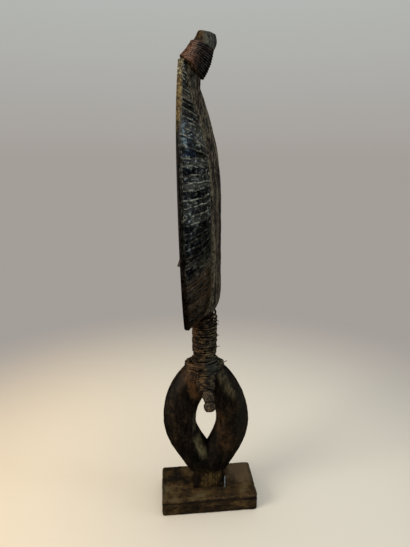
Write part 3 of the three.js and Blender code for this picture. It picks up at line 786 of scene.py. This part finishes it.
blackened = Finish("blackened_brass_strip", coat_weight=0.35, coat_roughness=0.1, specular_ior_level=0.2)
tint = blackened.painted("tint")
edge = blackened.painted("edge")
speck = blackened.cloud(1.6, 1.6, 1.6, detail=3.0, rough=0.6)
smudge = blackened.cloud(6, 6, 4, detail=3.0, rough=0.6, shift=13.0)
crease = blackened.cloud(12, 12, 6, detail=2.0, shift=4.0, warp=1.2)
crossing = blackened.cloud(15, 15, 11, detail=2.5, shift=9.0, warp=2.2)
patch = blackened.cloud(16, 16, 13, detail=3.0, shift=8.0)
height = blackened.z + patch * 0.024 - 0.012
low_down = height.between(0.322, 0.282)
deep = height.between(0.342, 0.332) * height.between(0.296, 0.306)
high_up = height.between(0.412, 0.440)


def thin_line(value, half):
    """A line a little wide where a cloud crosses its middle value."""
    return abs(value - 0.5).between(half, half * 0.25)


mottle = tint * 0.3 + speck * 0.3 + smudge * 0.4
shade = mottle.ramp((0.42, 2, 2, 3), (0.5, 12, 12, 12), (0.61, 62, 61, 56))
brown = mottle.ramp((0.42, 3, 2, 1), (0.5, 9, 6, 4), (0.60, 42, 30, 19))
taupe = mottle.ramp((0.41, 12, 11, 9), (0.5, 38, 35, 30), (0.60, 84, 78, 66))
shade = shade.blend(low_down, brown)
shade = shade.blend(high_up, taupe)
shade = shade.blend(deep * 0.92, tone(2, 2, 2))
# A painted reflection of blue sky, in patches near the rim.
blue = zone(blackened, -36, -20, 396, 414, 7) * smudge.between(0.40, 0.52)
shade = shade.blend(blue * 0.85, tone(12, 30, 52))
gold = patch.between(0.46, 0.58) * zone(blackened, -30, 10, 262, 296, 8)
shade = shade.blend(gold * 0.4, tone(72, 52, 26))
green = patch.between(0.5, 0.62) * zone(blackened, -25, 0, 300, 318, 7)
shade = shade.blend(green * 0.4, tone(36, 42, 26))
# Lighter strip edges: rubbed metal, with a painted highlight.
rubbed_and_highlit = (edge * 0.5 + speck * 0.4 + smudge * 0.5).between(0.62, 0.88)
rubbed_and_highlit_tone = blackened.blend(low_down, tone(104, 94, 72), tone(98, 78, 52))
shade = shade.blend(rubbed_and_highlit * (0.8 + low_down * 0.1) * (1.0 - deep * 0.5), rubbed_and_highlit_tone)
# Painted glints: thin bright foil lines and short dashes, in clusters, where crumpled sheet would catch
# the light.
clustered = patch.between(0.44, 0.54) * (1.0 - low_down * 0.8) * (1.0 - high_up * 0.4)
clustered = clustered * (1.0 - deep * 0.85)
foil_glint_lines = thin_line(crease, 0.014) + thin_line(crossing, 0.010)
shade = shade.blend(foil_glint_lines * clustered * 0.35, tone(150, 158, 150))
dash = blackened.cloud(4.6, 4.6, 1.3, detail=2.0, rough=0.5, shift=21.0, warp=0.8)
glint = (dash * 0.7 + smudge * 0.3).between(0.565, 0.62) * clustered
shade = shade.blend(glint * 0.9, tone(168, 176, 168))
sky_glint = zone(blackened, -26, -24.5, 400, 416, 2.5) * smudge.between(0.46, 0.54)
shade = shade.blend(sky_glint * 0.8, tone(128, 146, 152))
bulge = blackened.ridge() + speck * 0.02 - 0.01
wear_and_highlight_breakup = blackened.cloud(7, 7, 3.2, detail=3.0, rough=0.6, shift=27.0)
# Ridges and creases are lighter, as worn metal with a painted highlight.
raised = bulge.between(0.506, 0.53) * (0.9 - low_down * 0.35)
raised = raised * (0.08 + wear_and_highlight_breakup.between(0.47, 0.58) * 0.92) * (1.0 - deep * 0.7)
shade = shade.blend(raised, blackened.blend(low_down, tone(156, 156, 140), tone(92, 72, 48)))
# Painted shade in the hollows.
shade = shade.blend(bulge.between(0.494, 0.47) * 0.8, tone(2, 2, 2))
# Painted shadow and grime under each lapped strip edge; the ends folded over the rim are darkened too.
under = edge.between(-0.15, -0.75)
shade = shade.blend(under * 0.85, tone(6, 4, 3))
strip_metal = blackened.coat(
    shade,
    0.18 + speck * 0.25 + low_down * 0.14 + high_up * 0.25,
    0.12 + (rubbed_and_highlit + foil_glint_lines * clustered) * 0.5,
    height=crease * 0.6 + crossing * 0.5 + smudge * 0.3 + speck * 0.15,
    depth=2.0,
)
for piece, node in zip(back_pieces, ("back_strips_left", "back_strips_right")):
    dress(piece, strip_metal)
    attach(piece, "root")
    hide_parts(node)


# A wider strip is dressed down over the raised band in the middle of the back. It is grey-brown
# and scored lengthwise by hammering and handling.
keel_foot = 227.5 * mm
keel_top = 471 * mm
keel_lift = 1.15 * mm
keel_thick = 0.6 * mm
keel = flat_grid("keel_band", 26, 150)
for vertex in keel.data.vertices:
    across, up = vertex.co.x * 2, vertex.co.y + 0.5
    z = keel_foot + (keel_top - keel_foot) * up
    ragged = 1 + 0.09 * ripple(0, z, 9, across // 1) + 0.05 * ripple(0, z, 3, across // 1)
    x = across * (band_half(z) + 0.1 * mm) * (ragged if abs(across) > 0.95 else 1)
    score = 0.36 * mm * noise.noise(Vector((x / (1.9 * mm), z / (38 * mm), 1.0)))
    dent = 0.32 * mm * ripple(x, z, 11, 4) + 0.12 * mm * fold(x, z, 5, 2)
    curl = -0.45 * mm * abs(across) ** 6
    vertex.co = off_form(back_form, x, z, keel_lift + score + dent + curl)
if keel.data.polygons[0].normal.y < 0:
    keel.data.flip_normals()
finished(keel, "SOLIDIFY", thickness=keel_thick, offset=-1)
turn_with_head(keel)
smooth(keel, 50)
scored = Finish("scored_grey_brass", specular_ior_level=0.2)
score = scored.cloud(1.3, 2.2, 48, detail=4.0, rough=0.65)
speck = scored.cloud(1.4, 1.4, 3.4, detail=4.0, rough=0.65, shift=3.0)
patch = scored.cloud(10, 10, 24, detail=4.0, rough=0.6, shift=6.0)
mottle = score * 0.5 + speck * 0.25 + patch * 0.25
shade = mottle.ramp((0.43, 12, 10, 7), (0.5, 50, 44, 35), (0.58, 110, 99, 80))
green = patch.between(0.53, 0.66)
shade = shade.blend(green * 0.4, tone(42, 50, 42))
plum = patch.between(0.47, 0.38)
shade = shade.blend(plum * 0.4, tone(58, 44, 40))
bulge = scored.ridge() + speck * 0.02 - 0.01
# Painted highlight on the ridges, and painted shade in the hollows.
shade = shade.blend(bulge.between(0.505, 0.53) * speck.between(0.4, 0.6), tone(124, 112, 90))
shade = shade.blend(bulge.between(0.496, 0.475) * 0.7, tone(8, 6, 4))
cracked = thin_line(scored.cloud(4, 4, 42, detail=3.0, shift=17.0, warp=0.6), 0.022)
shade = shade.blend(cracked * 0.8, tone(7, 5, 4))
dress(keel, scored.coat(shade, 0.38 + speck * 0.4, 0.25, height=score * 0.6 + speck * 0.4, depth=1.6))
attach(keel, "root")
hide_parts("keel_sheath")


# The dished face carries the same strips, a little wider and rubbed to brown gold, with a
# broader upright band between them from the crown to the chin.
face_pitch = 4.4 * mm
face_crumple = 0.09
brow_foot = 222.5 * mm
brow_top = 470 * mm
brow_lift = 0.95 * mm
brow_thick = 0.5 * mm


def beside_brow(z):
    return 0.5 * band_half(z) + 0.3 * mm


face_pieces = []
for side, word in ((1, "left"), (-1, "right")):
    name, levels = "face_strips_laid_" + word, strip_levels(lambda z: face_pitch, 31 + side)
    looks = (beside_brow, lambda z: face_crumple, lambda z: 0.0)
    face_pieces.append(strips(name, face_form, side, levels, *looks, 40 + side))
rubbed_brass = Finish("rubbed_face_brass")
tint = rubbed_brass.painted("tint")
edge = rubbed_brass.painted("edge")
speck = rubbed_brass.cloud(1.8, 1.8, 1.8, detail=4.0)
patch = rubbed_brass.cloud(28, 28, 22, detail=3.0, shift=5.0)
shade = (tint * 0.4 + speck * 0.6).ramp((0.28, 44, 32, 20), (0.5, 98, 74, 44), (0.72, 146, 116, 70))
dull = patch.between(0.5, 0.68)
shade = shade.blend(dull * 0.35, tone(60, 50, 36))
# Painted shadow and grime under each lapped strip edge.
shade = shade.blend(edge.between(-0.1, -0.7) * 0.55, tone(24, 17, 10))
# Lighter strip edges: rubbed brass, with a painted highlight.
rubbed_and_highlit = (edge * 0.7 + speck * 0.6).between(0.6, 1.0)
shade = shade.blend(rubbed_and_highlit * 0.7, tone(186, 152, 96))
face_metal = rubbed_brass.coat(
    shade, 0.3 + speck * 0.25, 0.5, height=patch * 0.3 + speck * 0.7, depth=0.35
)
for piece, node in zip(face_pieces, ("face_strips_left", "face_strips_right")):
    dress(piece, face_metal)
    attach(piece, "root")
    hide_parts(node)

brow = flat_grid("brow_band_laid", 14, 120)
for vertex in brow.data.vertices:
    across, up = vertex.co.x * 2, vertex.co.y + 0.5
    z = brow_foot + (brow_top - brow_foot) * up
    x = across * 0.5 * band_half(z)
    swell = 0.7 * mm * (1 - across**2) + 0.12 * mm * ripple(x, z, 6, 9)
    vertex.co = off_form(face_form, x, z, brow_lift + swell)
if brow.data.polygons[0].normal.y > 0:
    brow.data.flip_normals()
tints = brow.data.attributes.new("tint", "FLOAT", "POINT")
edges = brow.data.attributes.new("edge", "FLOAT", "POINT")
for index, vertex in enumerate(brow.data.vertices):
    reach_out = abs(vertex.co.x) / (0.5 * band_half(vertex.co.z))
    tints.data[index].value = 0.55
    # The brow's edges are marked for the same lighter rubbed and highlighted edge.
    edges.data[index].value = min(1.0, reach_out) ** 6
finished(brow, "SOLIDIFY", thickness=brow_thick, offset=-1)
turn_with_head(brow)
smooth(brow, 50)
dress(brow, face_metal)
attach(brow, "root")
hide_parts("brow_band")


# A strip of brass is bent round the leaf's edge and closed over it, with small staples. It is golden
# above and dark red-brown below.
outline = leaf[::4]
loop = [(x, z) for x, z in outline] + [(-x, z) for x, z in outline[::-1][1:]]
rim_thick = 0.5 * mm
rim = flat_grid("rim_strip", len(loop) - 1, 8)
for vertex in rim.data.vertices:
    station = round((vertex.co.x + 0.5) * (len(loop) - 1))
    x, z = loop[station]
    before, after = loop[max(0, station - 1)], loop[min(len(loop) - 1, station + 1)]
    tangent = Vector((after[0] - before[0], after[1] - before[1])).normalized()
    inward = Vector((tangent.y, -tangent.x))
    if inward.dot(Vector((-x, 0.35 - z))) < 0:
        inward = -inward
    share = vertex.co.y + 0.5
    roll = (2 * share - 1) ** 6
    wave = 0.18 * mm * noise.noise(Vector((x / (7 * mm), z / (7 * mm), 2.0)))
    inset = (0.05 + 0.8 * roll) * mm - wave * (1 - roll)
    front = rim_front(z) + rim_wide * (0.02 + 0.96 * share)
    vertex.co = Vector((x + inward.x * inset, front, z + inward.y * inset))
finished(rim, "SOLIDIFY", thickness=rim_thick, offset=0)
turn_with_head(rim)
outwards(rim)
smooth(rim, 45)
golden = Finish("golden_rim_brass", specular_ior_level=0.2)
speck = golden.cloud(1.6, 1.6, 2.6, detail=4.0, rough=0.65)
patch = golden.cloud(8, 8, 12, detail=3.0, shift=5.0)
bright = (speck * 0.7 + patch * 0.3).ramp((0.40, 36, 25, 11), (0.5, 94, 76, 44), (0.60, 150, 130, 84))
dark = (speck * 0.7 + patch * 0.3).ramp((0.42, 2, 1, 1), (0.5, 6, 4, 3), (0.61, 44, 28, 18))
pale = speck.ramp((0.38, 40, 34, 22), (0.5, 96, 85, 60), (0.62, 160, 148, 118))
golden_above = (golden.z + patch * 0.05).between(0.428, 0.462)
shade = dark.blend(golden_above * 0.9, bright)
folded = (golden.z + speck * 0.001).between(0.4588, 0.4592)
shade = shade.blend(folded, pale)
joint = (golden.z + speck * 0.001).between(0.4584, 0.4588) * golden.z.between(0.4596, 0.4590)
shade = shade.blend(joint * 0.85, tone(24, 16, 10))
rim_metal = golden.coat(shade, 0.3 + speck * 0.35, 0.4, height=speck * 0.5 + patch * 0.5, depth=0.9)
dress(rim, rim_metal)
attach(rim, "root")
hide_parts("rim_band")


# Domed brass discs are the eyes, pressed onto the strips, and a bent blade of brass is the
# nose. Its tip stands out past the rim.
eye_across = 9.5 * mm
eye_height = 319.4 * mm
eye_deep = 5.4 * mm
pressed = Finish("pressed_brass")
speck = pressed.cloud(1.4, 1.4, 1.4, detail=4.0, rough=0.6)
patch = pressed.cloud(7, 7, 7, detail=3.0, shift=6.0)
bulge = pressed.ridge()
shade = (speck * 0.5 + patch * 0.5).ramp((0.38, 40, 28, 15), (0.5, 104, 78, 44), (0.62, 158, 126, 74))
# Painted highlight on the bulges of the eyes and nose, and painted shade in their hollows.
shade = shade.blend(bulge.between(0.51, 0.56) * 0.5, tone(190, 158, 100))
shade = shade.blend(bulge.between(0.49, 0.46) * 0.8, tone(24, 16, 9))
nose_tip = pressed.y.between(-0.0262, -0.0288)
shade = shade.blend(nose_tip * 0.9, tone(30, 16, 10))
pressed_metal = pressed.coat(shade, 0.28 + speck * 0.3, 0.5, height=speck * 0.5 + patch * 0.5, depth=0.5)
for side, word in ((1, "left"), (-1, "right")):
    low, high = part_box("eye_" + word)
    middle = (low + high) / 2
    bpy.ops.object.select_all(action="DESELECT")
    bpy.ops.mesh.primitive_uv_sphere_add(segments=40, ring_count=24, radius=1)
    dome = bpy.context.active_object
    dome.name = "eye_disc_" + word
    dome.scale = (eye_across, eye_deep, eye_across)
    settle(dome)
    bpy.ops.object.mode_set(mode="EDIT")
    bpy.ops.mesh.select_all(action="SELECT")
    bpy.ops.mesh.bisect(plane_co=(0, -0.2 * mm, 0), plane_no=(0, 1, 0), clear_outer=True, use_fill=True)
    pick(dome, "face", lambda centre, normal: normal.y < -0.9 and math.hypot(centre.x, centre.z) < 3 * mm)
    bpy.ops.mesh.inset(thickness=0.4 * mm, depth=0.5 * mm)
    bpy.ops.object.mode_set(mode="OBJECT")
    lean = math.atan(2 * dish_deep * abs(middle.x) / half_wide(eye_height) ** 2) * side
    dome.data.transform(Matrix.Rotation(lean + head_turn, 4, "Z"))
    dome.data.transform(Matrix.Translation((middle.x, high.y - 0.9 * mm, middle.z)))
    smooth(dome, 35)
    dress(dome, pressed_metal)
    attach(dome, "root")
    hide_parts("eye_" + word)

nose = copied("nose_blade", "nose_sheet")
finished(nose, "BEVEL", width=0.5 * mm, segments=3)
finished(nose, "SUBSURF", subdivision_type="SIMPLE", levels=3, render_levels=3)
roughened(nose, 6, 0.3)
smooth(nose, 35)
dress(nose, pressed_metal)
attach(nose, "root")
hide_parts("nose_blade")


# The topknot leans back. A cap of thin sheet is dressed over its wooden stub, with a dented,
# folded end, and copper wire is wound round it from the crown up.
knot_low_tilt = math.radians(41)
knot_high_tilt = math.radians(12)
knot_long = 32.2 * mm
knot_foot = Vector((0, rim_front(crown) + 11.9 * mm, crown - 4.4 * mm))
wire_thick = 1.9 * mm
wire_turns = 11
knot_layers = 3.4 * mm
knot_wound = wire_turns * wire_thick
knot_flat = 0.92
cap_below = 1.5 * mm
cap_closes = 0.86
cap_stand = 1.15 * mm
cap_thick = 0.5 * mm


def knot_half(station):
    base = 14.8 * mm - knot_layers
    top = 12.2 * mm - knot_layers
    tip = 6.6 * mm
    if station <= knot_wound:
        return base + (top - base) * station / knot_wound
    return top + (tip - top) * ((station - knot_wound) / (knot_long - knot_wound)) ** 2


def knot_at(station):
    tilt = lambda at: knot_low_tilt + (knot_high_tilt - knot_low_tilt) * min(1, max(0, at / knot_long))
    middle = knot_foot.copy()
    for step in range(12):
        here = tilt(station * (step + 0.5) / 12)
        middle += Vector((0, math.sin(here), math.cos(here))) * station / 12
    here = tilt(station)
    return middle, Vector((0, math.cos(here), -math.sin(here)))


cap = flat_grid("topknot_cap", 48, 40)
for vertex in cap.data.vertices:
    turn, up = (vertex.co.x + 0.5) * 2 * math.pi, vertex.co.y + 0.5
    station = -cap_below + (knot_long + cap_below) * min(1.0, up / cap_closes)
    middle, across = knot_at(station)
    closing = 1 - eased((up - cap_closes) / (1 - cap_closes)) ** 0.5 if up > cap_closes else 1.0
    swell = math.sin(math.pi * min(1, max(0, (station - knot_wound) / (knot_long - knot_wound))))
    half = knot_half(max(0, station)) + cap_stand + 0.9 * mm * swell * max(0, math.sin(turn))
    direction = Vector((1, 0, 0)) * math.cos(turn) * knot_flat + across * math.sin(turn)
    crinkle = 1 + 0.05 * noise.noise(Vector((math.cos(turn) * 2, math.sin(turn) * 2, up * 5)))
    point = middle + direction * half * closing * crinkle
    end = eased((up - 0.8) / 0.2)
    dent = 0.6 * mm * end * math.exp(-((turn - math.pi * 1.9) ** 2) * 2.2)
    notch = 0.3 * mm * end * math.exp(-((point.y - middle.y + 1 * mm) / (2 * mm)) ** 2)
    vertex.co = point - Vector((0, 0, 1)) * (notch + dent)
outwards(cap, merge=0.05)
finished(cap, "SOLIDIFY", thickness=cap_thick, offset=-1)
finished(cap, "SUBSURF", levels=1, render_levels=1)
roughened(cap, 5, 0.5)
turn_with_head(cap)
smooth(cap, 60)
dull_sheet = Finish("dull_cap_sheet", specular_ior_level=0.2)
speck = dull_sheet.cloud(1.6, 1.6, 2.4, detail=4.0)
patch = dull_sheet.cloud(9, 9, 12, detail=3.0, shift=5.0)
gold_side = (dull_sheet.y + patch * 0.006).between(0.001, -0.005)
gold = (speck * 0.6 + patch * 0.4).ramp((0.41, 18, 11, 3), (0.5, 48, 33, 12), (0.59, 82, 62, 30))
grey = (speck * 0.6 + patch * 0.4).ramp((0.40, 28, 28, 26), (0.5, 60, 60, 54), (0.60, 96, 96, 84))
shade = grey.blend(gold_side, gold)
dress(cap, dull_sheet.coat(shade, 0.42 + speck * 0.35, 0.35, height=speck * 0.5 + patch * 0.5, depth=1.2))
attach(cap, "root")
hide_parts("topknot_sheath")


def new_cord(name, half_thick, roundness):
    curve = bpy.data.curves.new(name, "CURVE")
    curve.dimensions = "3D"
    curve.bevel_depth = half_thick
    curve.bevel_resolution = roundness
    curve.use_fill_caps = True
    return curve


def as_mesh(curve):
    holder = bpy.data.objects.new(curve.name, curve)
    bpy.context.scene.collection.objects.link(holder)
    alone(holder)
    bpy.ops.object.convert(target="MESH")
    return bpy.context.active_object


def wound(name, at, turns, thick, strands=1, twist=7.0, wobble=0.12, seed=1):
    """Cord or wire wound round a form. at(share) gives the form's middle, its two directions
    and half widths; a cord of several strands is twisted as it goes round."""
    curve = new_cord(name, thick / 2 if strands == 1 else thick * 0.34, 2)
    middle, sideways, across, half_side, half_across = at(0.5)
    length = turns * math.pi * (half_side + half_across)
    steps = int(length / mm)
    for strand in range(strands):
        spline = curve.splines.new("POLY")
        spline.points.add(steps)
        for i in range(steps + 1):
            share = i / steps
            angle = 2 * math.pi * turns * share
            middle, sideways, across, half_side, half_across = at(share)
            ahead, aside = sideways * math.cos(angle), across * math.sin(angle)
            round_by = ahead + aside
            climb = sideways.cross(across).normalized()
            point = middle + ahead * half_side + aside * half_across + round_by * thick / 2
            sway = Vector((angle * 0.9, seed * 5.1, 0.3))
            point += round_by * thick * wobble * noise.noise(sway)
            point += climb * thick * wobble * 1.6 * noise.noise(sway * 1.3 + Vector((9, 4, 1)))
            if strands > 1:
                lay = 2 * math.pi * (share * length / (twist * mm) + strand / strands)
                point += (round_by * math.cos(lay) * 0.2 + climb * math.sin(lay) * 0.11) * thick
            spline.points[i].co = (*point, 1)
    made = as_mesh(curve)
    smooth(made)
    return made


def round_knot(share):
    station = share * knot_wound
    middle, across = knot_at(station)
    half = knot_half(station)
    seat = 1.5 * mm
    drawn = 1.0 * mm * share**2
    middle -= across * drawn
    return middle, Vector((1, 0, 0)), across, half * knot_flat + seat, half + seat - drawn


knot_wire = wound("copper_winding", round_knot, wire_turns + 0.4, wire_thick * 0.97, wobble=0.1, seed=3)
turn_with_head(knot_wire)
copper = Finish("wound_copper_wire")
speck = copper.cloud(2.4, 2.4, 2.4, detail=2.0)
patch = copper.cloud(8, 8, 5, detail=3.0, shift=5.0)
front_side = (copper.y + patch * 0.012).between(-0.002, -0.014)
red = speck.ramp((0.34, 52, 30, 20), (0.5, 84, 54, 38), (0.66, 122, 88, 64))
plum = speck.ramp((0.36, 10, 7, 6), (0.5, 36, 28, 25), (0.64, 68, 54, 47))
shade = plum.blend(front_side, red)
wire_metal = copper.coat(shade, 0.32 + speck * 0.3, 0.45, height=speck, depth=0.15)
dress(knot_wire, wire_metal)
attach(knot_wire, "root")
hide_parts("topknot_wire")


# The neck is wound with a stiff two-strand cord, crusted with rust and verdigris, whose frayed
# ends stick out at the back.
neck_half = 10.9 * mm
neck_ahead = 4.2 * mm
cord_thick = 2.5 * mm
neck_turns = 16
neck_foot = 189 * mm
neck_pitch = 41 * mm / neck_turns
neck_phase = 2 * math.pi * neck_foot / neck_pitch + 0.8


def round_neck(share):
    z = neck_foot + share * neck_turns * neck_pitch
    lifted = math.radians(30) * eased((share - 0.72) / 0.28)
    across = Vector((0, math.cos(lifted), math.sin(lifted)))
    return Vector((0, -neck_ahead, z)), Vector((1, 0, 0)), across, neck_half, neck_half / math.cos(lifted)


def stray(name, points, thick):
    """A loose end of cord along a few points."""
    curve = new_cord(name, thick / 2 * mm, 1)
    spline = curve.splines.new("NURBS")
    spline.points.add(len(points) - 1)
    spline.order_u = 3
    spline.use_endpoint_u = True
    for slot, point in zip(spline.points, points):
        slot.co = (*(Vector(point) * mm), 1)
    return as_mesh(curve)


def crusted_over(piece):
    """Fuses the turns where they touch, with crumbs of rust and dirt in the grooves."""
    finished(piece, "REMESH", mode="VOXEL", voxel_size=0.42 * mm)
    roughened(piece, 1.6, 0.22, 0.45)
    roughened(piece, 6, 0.8, 0.45)
    smooth(piece)


twisted = {"strands": 2, "twist": 6.0}
neck_winding = wound("neck_turns", round_neck, neck_turns, cord_thick, **twisted, wobble=0.3, seed=5)
crusted_over(neck_winding)
ends = [
    stray("end", [(2, 5.5, 225.5), (4, 9, 226.6), (5, 10.6, 225)], 0.8),
    stray("end", [(3, 5, 224.5), (5, 9, 223.5), (6, 10.4, 222)], 0.6),
    stray("end", [(1, 5.5, 208.5), (3, 9.8, 210), (4, 11, 208.5)], 0.7),
    stray("end", [(6, -12, 204), (9, -16, 203.5), (9.5, -17.4, 204.5)], 0.7),
    stray("end", [(3, 5.5, 197), (6, 10, 196.5), (7, 11.6, 198)], 0.6),
]
neck_winding = joined([neck_winding, *ends], "neck_turns")
crusted = Finish("crusted_cord", specular_ior_level=0.2)
speck = crusted.cloud(6, 6, 1.8, detail=4.0, rough=0.6)
patch = crusted.cloud(8, 8, 7, detail=3.0, shift=5.0)
verdigris = (crusted.y + patch * 0.016).between(-0.003, 0.012)
rust = (speck * 0.7 + patch * 0.3).ramp((0.40, 8, 4, 2), (0.5, 38, 25, 12), (0.61, 86, 62, 35))
grey_green = (speck * 0.7 + patch * 0.3).ramp((0.40, 8, 7, 4), (0.5, 36, 32, 22), (0.61, 84, 77, 56))
shade = rust.blend(verdigris, grey_green)
bulge = crusted.ridge() + speck * 0.02 - 0.01
# Painted highlight on the tops of the cord, broken up, and painted shade in the hollows.
ridge_highlight_breakup = (speck * 0.5 + patch * 0.5).between(0.44, 0.58)
shade = shade.blend(bulge.between(0.505, 0.55) * ridge_highlight_breakup * 0.4, tone(104, 84, 56))
shade = shade.blend(bulge.between(0.492, 0.45) * 0.85, tone(5, 3, 1))
# Painted shade in the gaps between the neck's turns.
round_about = crusted.maths("ARCTAN2", crusted.y + neck_ahead, crusted.x)
turn_at = crusted.z * (2 * math.pi / neck_pitch) - round_about - neck_phase + patch * 1.6
turn_at = crusted.maths("COSINE", turn_at)
gap_shade = turn_at.between(-0.3, -0.9) * crusted.z.between(0.187, 0.191)
shade = shade.blend(gap_shade * patch.between(0.68, 0.44) * 0.95, tone(5, 3, 2))
blue_green = zone(crusted, -1, 6, 174, 182, 4)
shade = shade.blend(blue_green * 0.6, tone(36, 44, 40))
sunlit = zone(crusted, -20, -16, 222, 228, 6)
shade = shade.blend(sunlit * 0.5, tone(92, 60, 28))
cord_fibre = crusted.coat(shade, 0.7 + speck * 0.25, 0.0, height=speck, depth=0.9)
dress(neck_winding, cord_fibre)
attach(neck_winding, "root")
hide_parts("neck_cord")


# The lashing flares over the ring's shoulders and ends in a fat loop of twisted cord, with a
# few strands hanging down beside the peg.
shoulder_turns = 9
lashing_foot = 166.5 * mm
lashing_high = 21.4 * mm
lashing_neck = 10.1 * mm
far_drop = 2.8 * mm
loop_thick = 5.4 * mm


def lashing_spread(z):
    down_share = (187.7 * mm - z) / (24 * mm)
    flare = eased((down_share - 0.1) / 0.54) * (1 - 0.16 * max(0.0, (down_share - 0.6) / 0.4) ** 3)
    wide, deep = 14.6 * mm - lashing_neck, 19.0 * mm - lashing_neck
    return lashing_neck + wide * flare, lashing_neck + deep * flare


def round_shoulder(share):
    z = lashing_foot + share * lashing_high
    half_side, half_across = lashing_spread(z)
    z -= far_drop * max(0.0, -math.cos(2 * math.pi * shoulder_turns * share))
    return Vector((0, -neck_ahead, z)), Vector((1, 0, 0)), Vector((0, 1, 0)), half_side, half_across


def round_loop(share):
    turn = 2 * math.pi * share
    z = (176.4 + 1.0 * math.sin(turn + 3.4) - 2.6 * max(0.0, -math.cos(turn))) * mm
    return Vector((0, -neck_ahead, z)), Vector((1, 0, 0)), Vector((0, 1, 0)), 12.6 * mm, 15.9 * mm


shoulder = wound(
    "shoulder_turns", round_shoulder, shoulder_turns, cord_thick, **twisted, wobble=0.45, seed=8
)
loop_cord = wound("loop", round_loop, 1.0, loop_thick, strands=2, twist=12.0, seed=9)
shoulder = joined([shoulder, loop_cord], "shoulder_turns")
crusted_over(shoulder)
hanging = [
    stray("strand", [(17, -13, 173), (18.5, -13.5, 167), (16.5, -12.6, 160), (15.2, -12, 154)], 1.3),
    stray("strand", [(17, -11, 172), (18.2, -11.2, 166), (16.8, -11.6, 158)], 1.1),
    stray("strand", [(16.5, -15, 172), (17, -16, 167), (14.8, -16.4, 161)], 1.2),
    stray("strand", [(6, 13.5, 177), (7, 17, 179), (8, 18.6, 181), (8.5, 19.4, 180.4)], 0.8),
]
shoulder = joined([shoulder, *hanging], "shoulder_turns")
dress(shoulder, cord_fibre)
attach(shoulder, "root")
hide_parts("shoulder_lashing")


# A short round peg of bare wood points out and down from the ring's left side, and cord wound
# tightly round its upper part ties it to the lashing.
peg = copied("side_peg", "round_peg")
finished(peg, "REMESH", mode="VOXEL", voxel_size=0.45 * mm)
finished(peg, "SMOOTH", factor=0.5, iterations=4)
roughened(peg, 4, 0.6, 0.05)
peg_root = Vector((10.0, -3.0, 168.5)) * mm
peg_tilt = math.radians(41)
peg_down = Vector((math.sin(peg_tilt), 0, -math.cos(peg_tilt)))
knob_high = 0.8 * mm
pinch_at = 31.2 * mm
pinch_deep = 0.9 * mm
for vertex in peg.data.vertices:
    along = (vertex.co - peg_root).dot(peg_down)
    radial = (vertex.co - peg_root - peg_down * along).normalized()
    knob = knob_high * eased((along - 21 * mm) / (3 * mm))
    pinch = pinch_deep * math.exp(-(((along - pinch_at) / (1.2 * mm)) ** 2))
    vertex.co += radial * (knob - pinch)
    vertex.co.y += 1.2 * mm * eased((along - 22 * mm) / (10 * mm))
smooth(peg)
bare = Finish("bare_peg_wood", specular_ior_level=0.25)
grain = bare.cloud(2, 2, 18, detail=4.0)
speck = bare.cloud(1.2, 1.2, 2.4, detail=3.0, shift=4.0)
shade = (grain * 0.6 + speck * 0.4).ramp((0.40, 14, 9, 5), (0.5, 48, 38, 25), (0.60, 88, 74, 52))
down_peg = (bare.x - peg_root.x) * peg_down.x + (bare.z - peg_root.z) * peg_down.z
down_peg = down_peg + speck * 0.002 - 0.001
# Painted shade in the crease round the peg, painted shadow under the binding, and painted shade in the
# hollows.
crease_shade = down_peg.between(0.0294, 0.0304) * down_peg.between(0.0332, 0.0318)
under_binding_shadow = down_peg.between(0.0205, 0.0185)
bulge = bare.ridge() + speck * 0.02 - 0.01
hollow_shade = bulge.between(0.494, 0.465)
shade = shade.blend(crease_shade.most(under_binding_shadow).most(hollow_shade) * 0.9, tone(8, 5, 3))
fibre = grain * 0.6 + speck * 0.4
dress(peg, bare.coat(shade, 0.55 + speck * 0.3, height=fibre, depth=0.4))
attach(peg, "root")
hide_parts("side_peg")

peg_out = Vector((math.cos(peg_tilt), 0, math.sin(peg_tilt)))
binding_turns = 8
binding_thick = 2.5 * mm
binding_long = 20.5 * mm


def round_peg(share):
    middle = peg_root + peg_down * (share * binding_long - 1 * mm)
    middle.y -= 2.6 * mm * (1 - 0.7 * share)
    narrow = (10.2 - 4.6 * share) * mm
    return middle, peg_out, Vector((0, 1, 0)), 5.6 * mm, narrow


binding = wound("peg_turns", round_peg, binding_turns, binding_thick, wobble=0.3, seed=12)
crusted_over(binding)
dress(binding, cord_fibre)
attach(binding, "root")
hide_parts("peg_binding")


# A thin iron nail, rubbed bright, stands beside the back of the foot and pins it.
nail = copied("foot_nail", "bright_nail")
finished(nail, "BEVEL", width=0.25 * mm, segments=2)
smooth(nail, 40)
rubbed_iron = Finish("rubbed_iron")
speck = rubbed_iron.cloud(1.0, 1.0, 3.0, detail=3.0)
shade = speck.ramp((0.35, 70, 76, 80), (0.5, 136, 146, 152), (0.65, 176, 184, 188))
dress(nail, rubbed_iron.coat(shade, 0.35 + speck * 0.3, 0.7, height=speck, depth=0.2))
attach(nail, "root")
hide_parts("foot_nail")


bpy.ops.object.select_all(action="DESELECT")
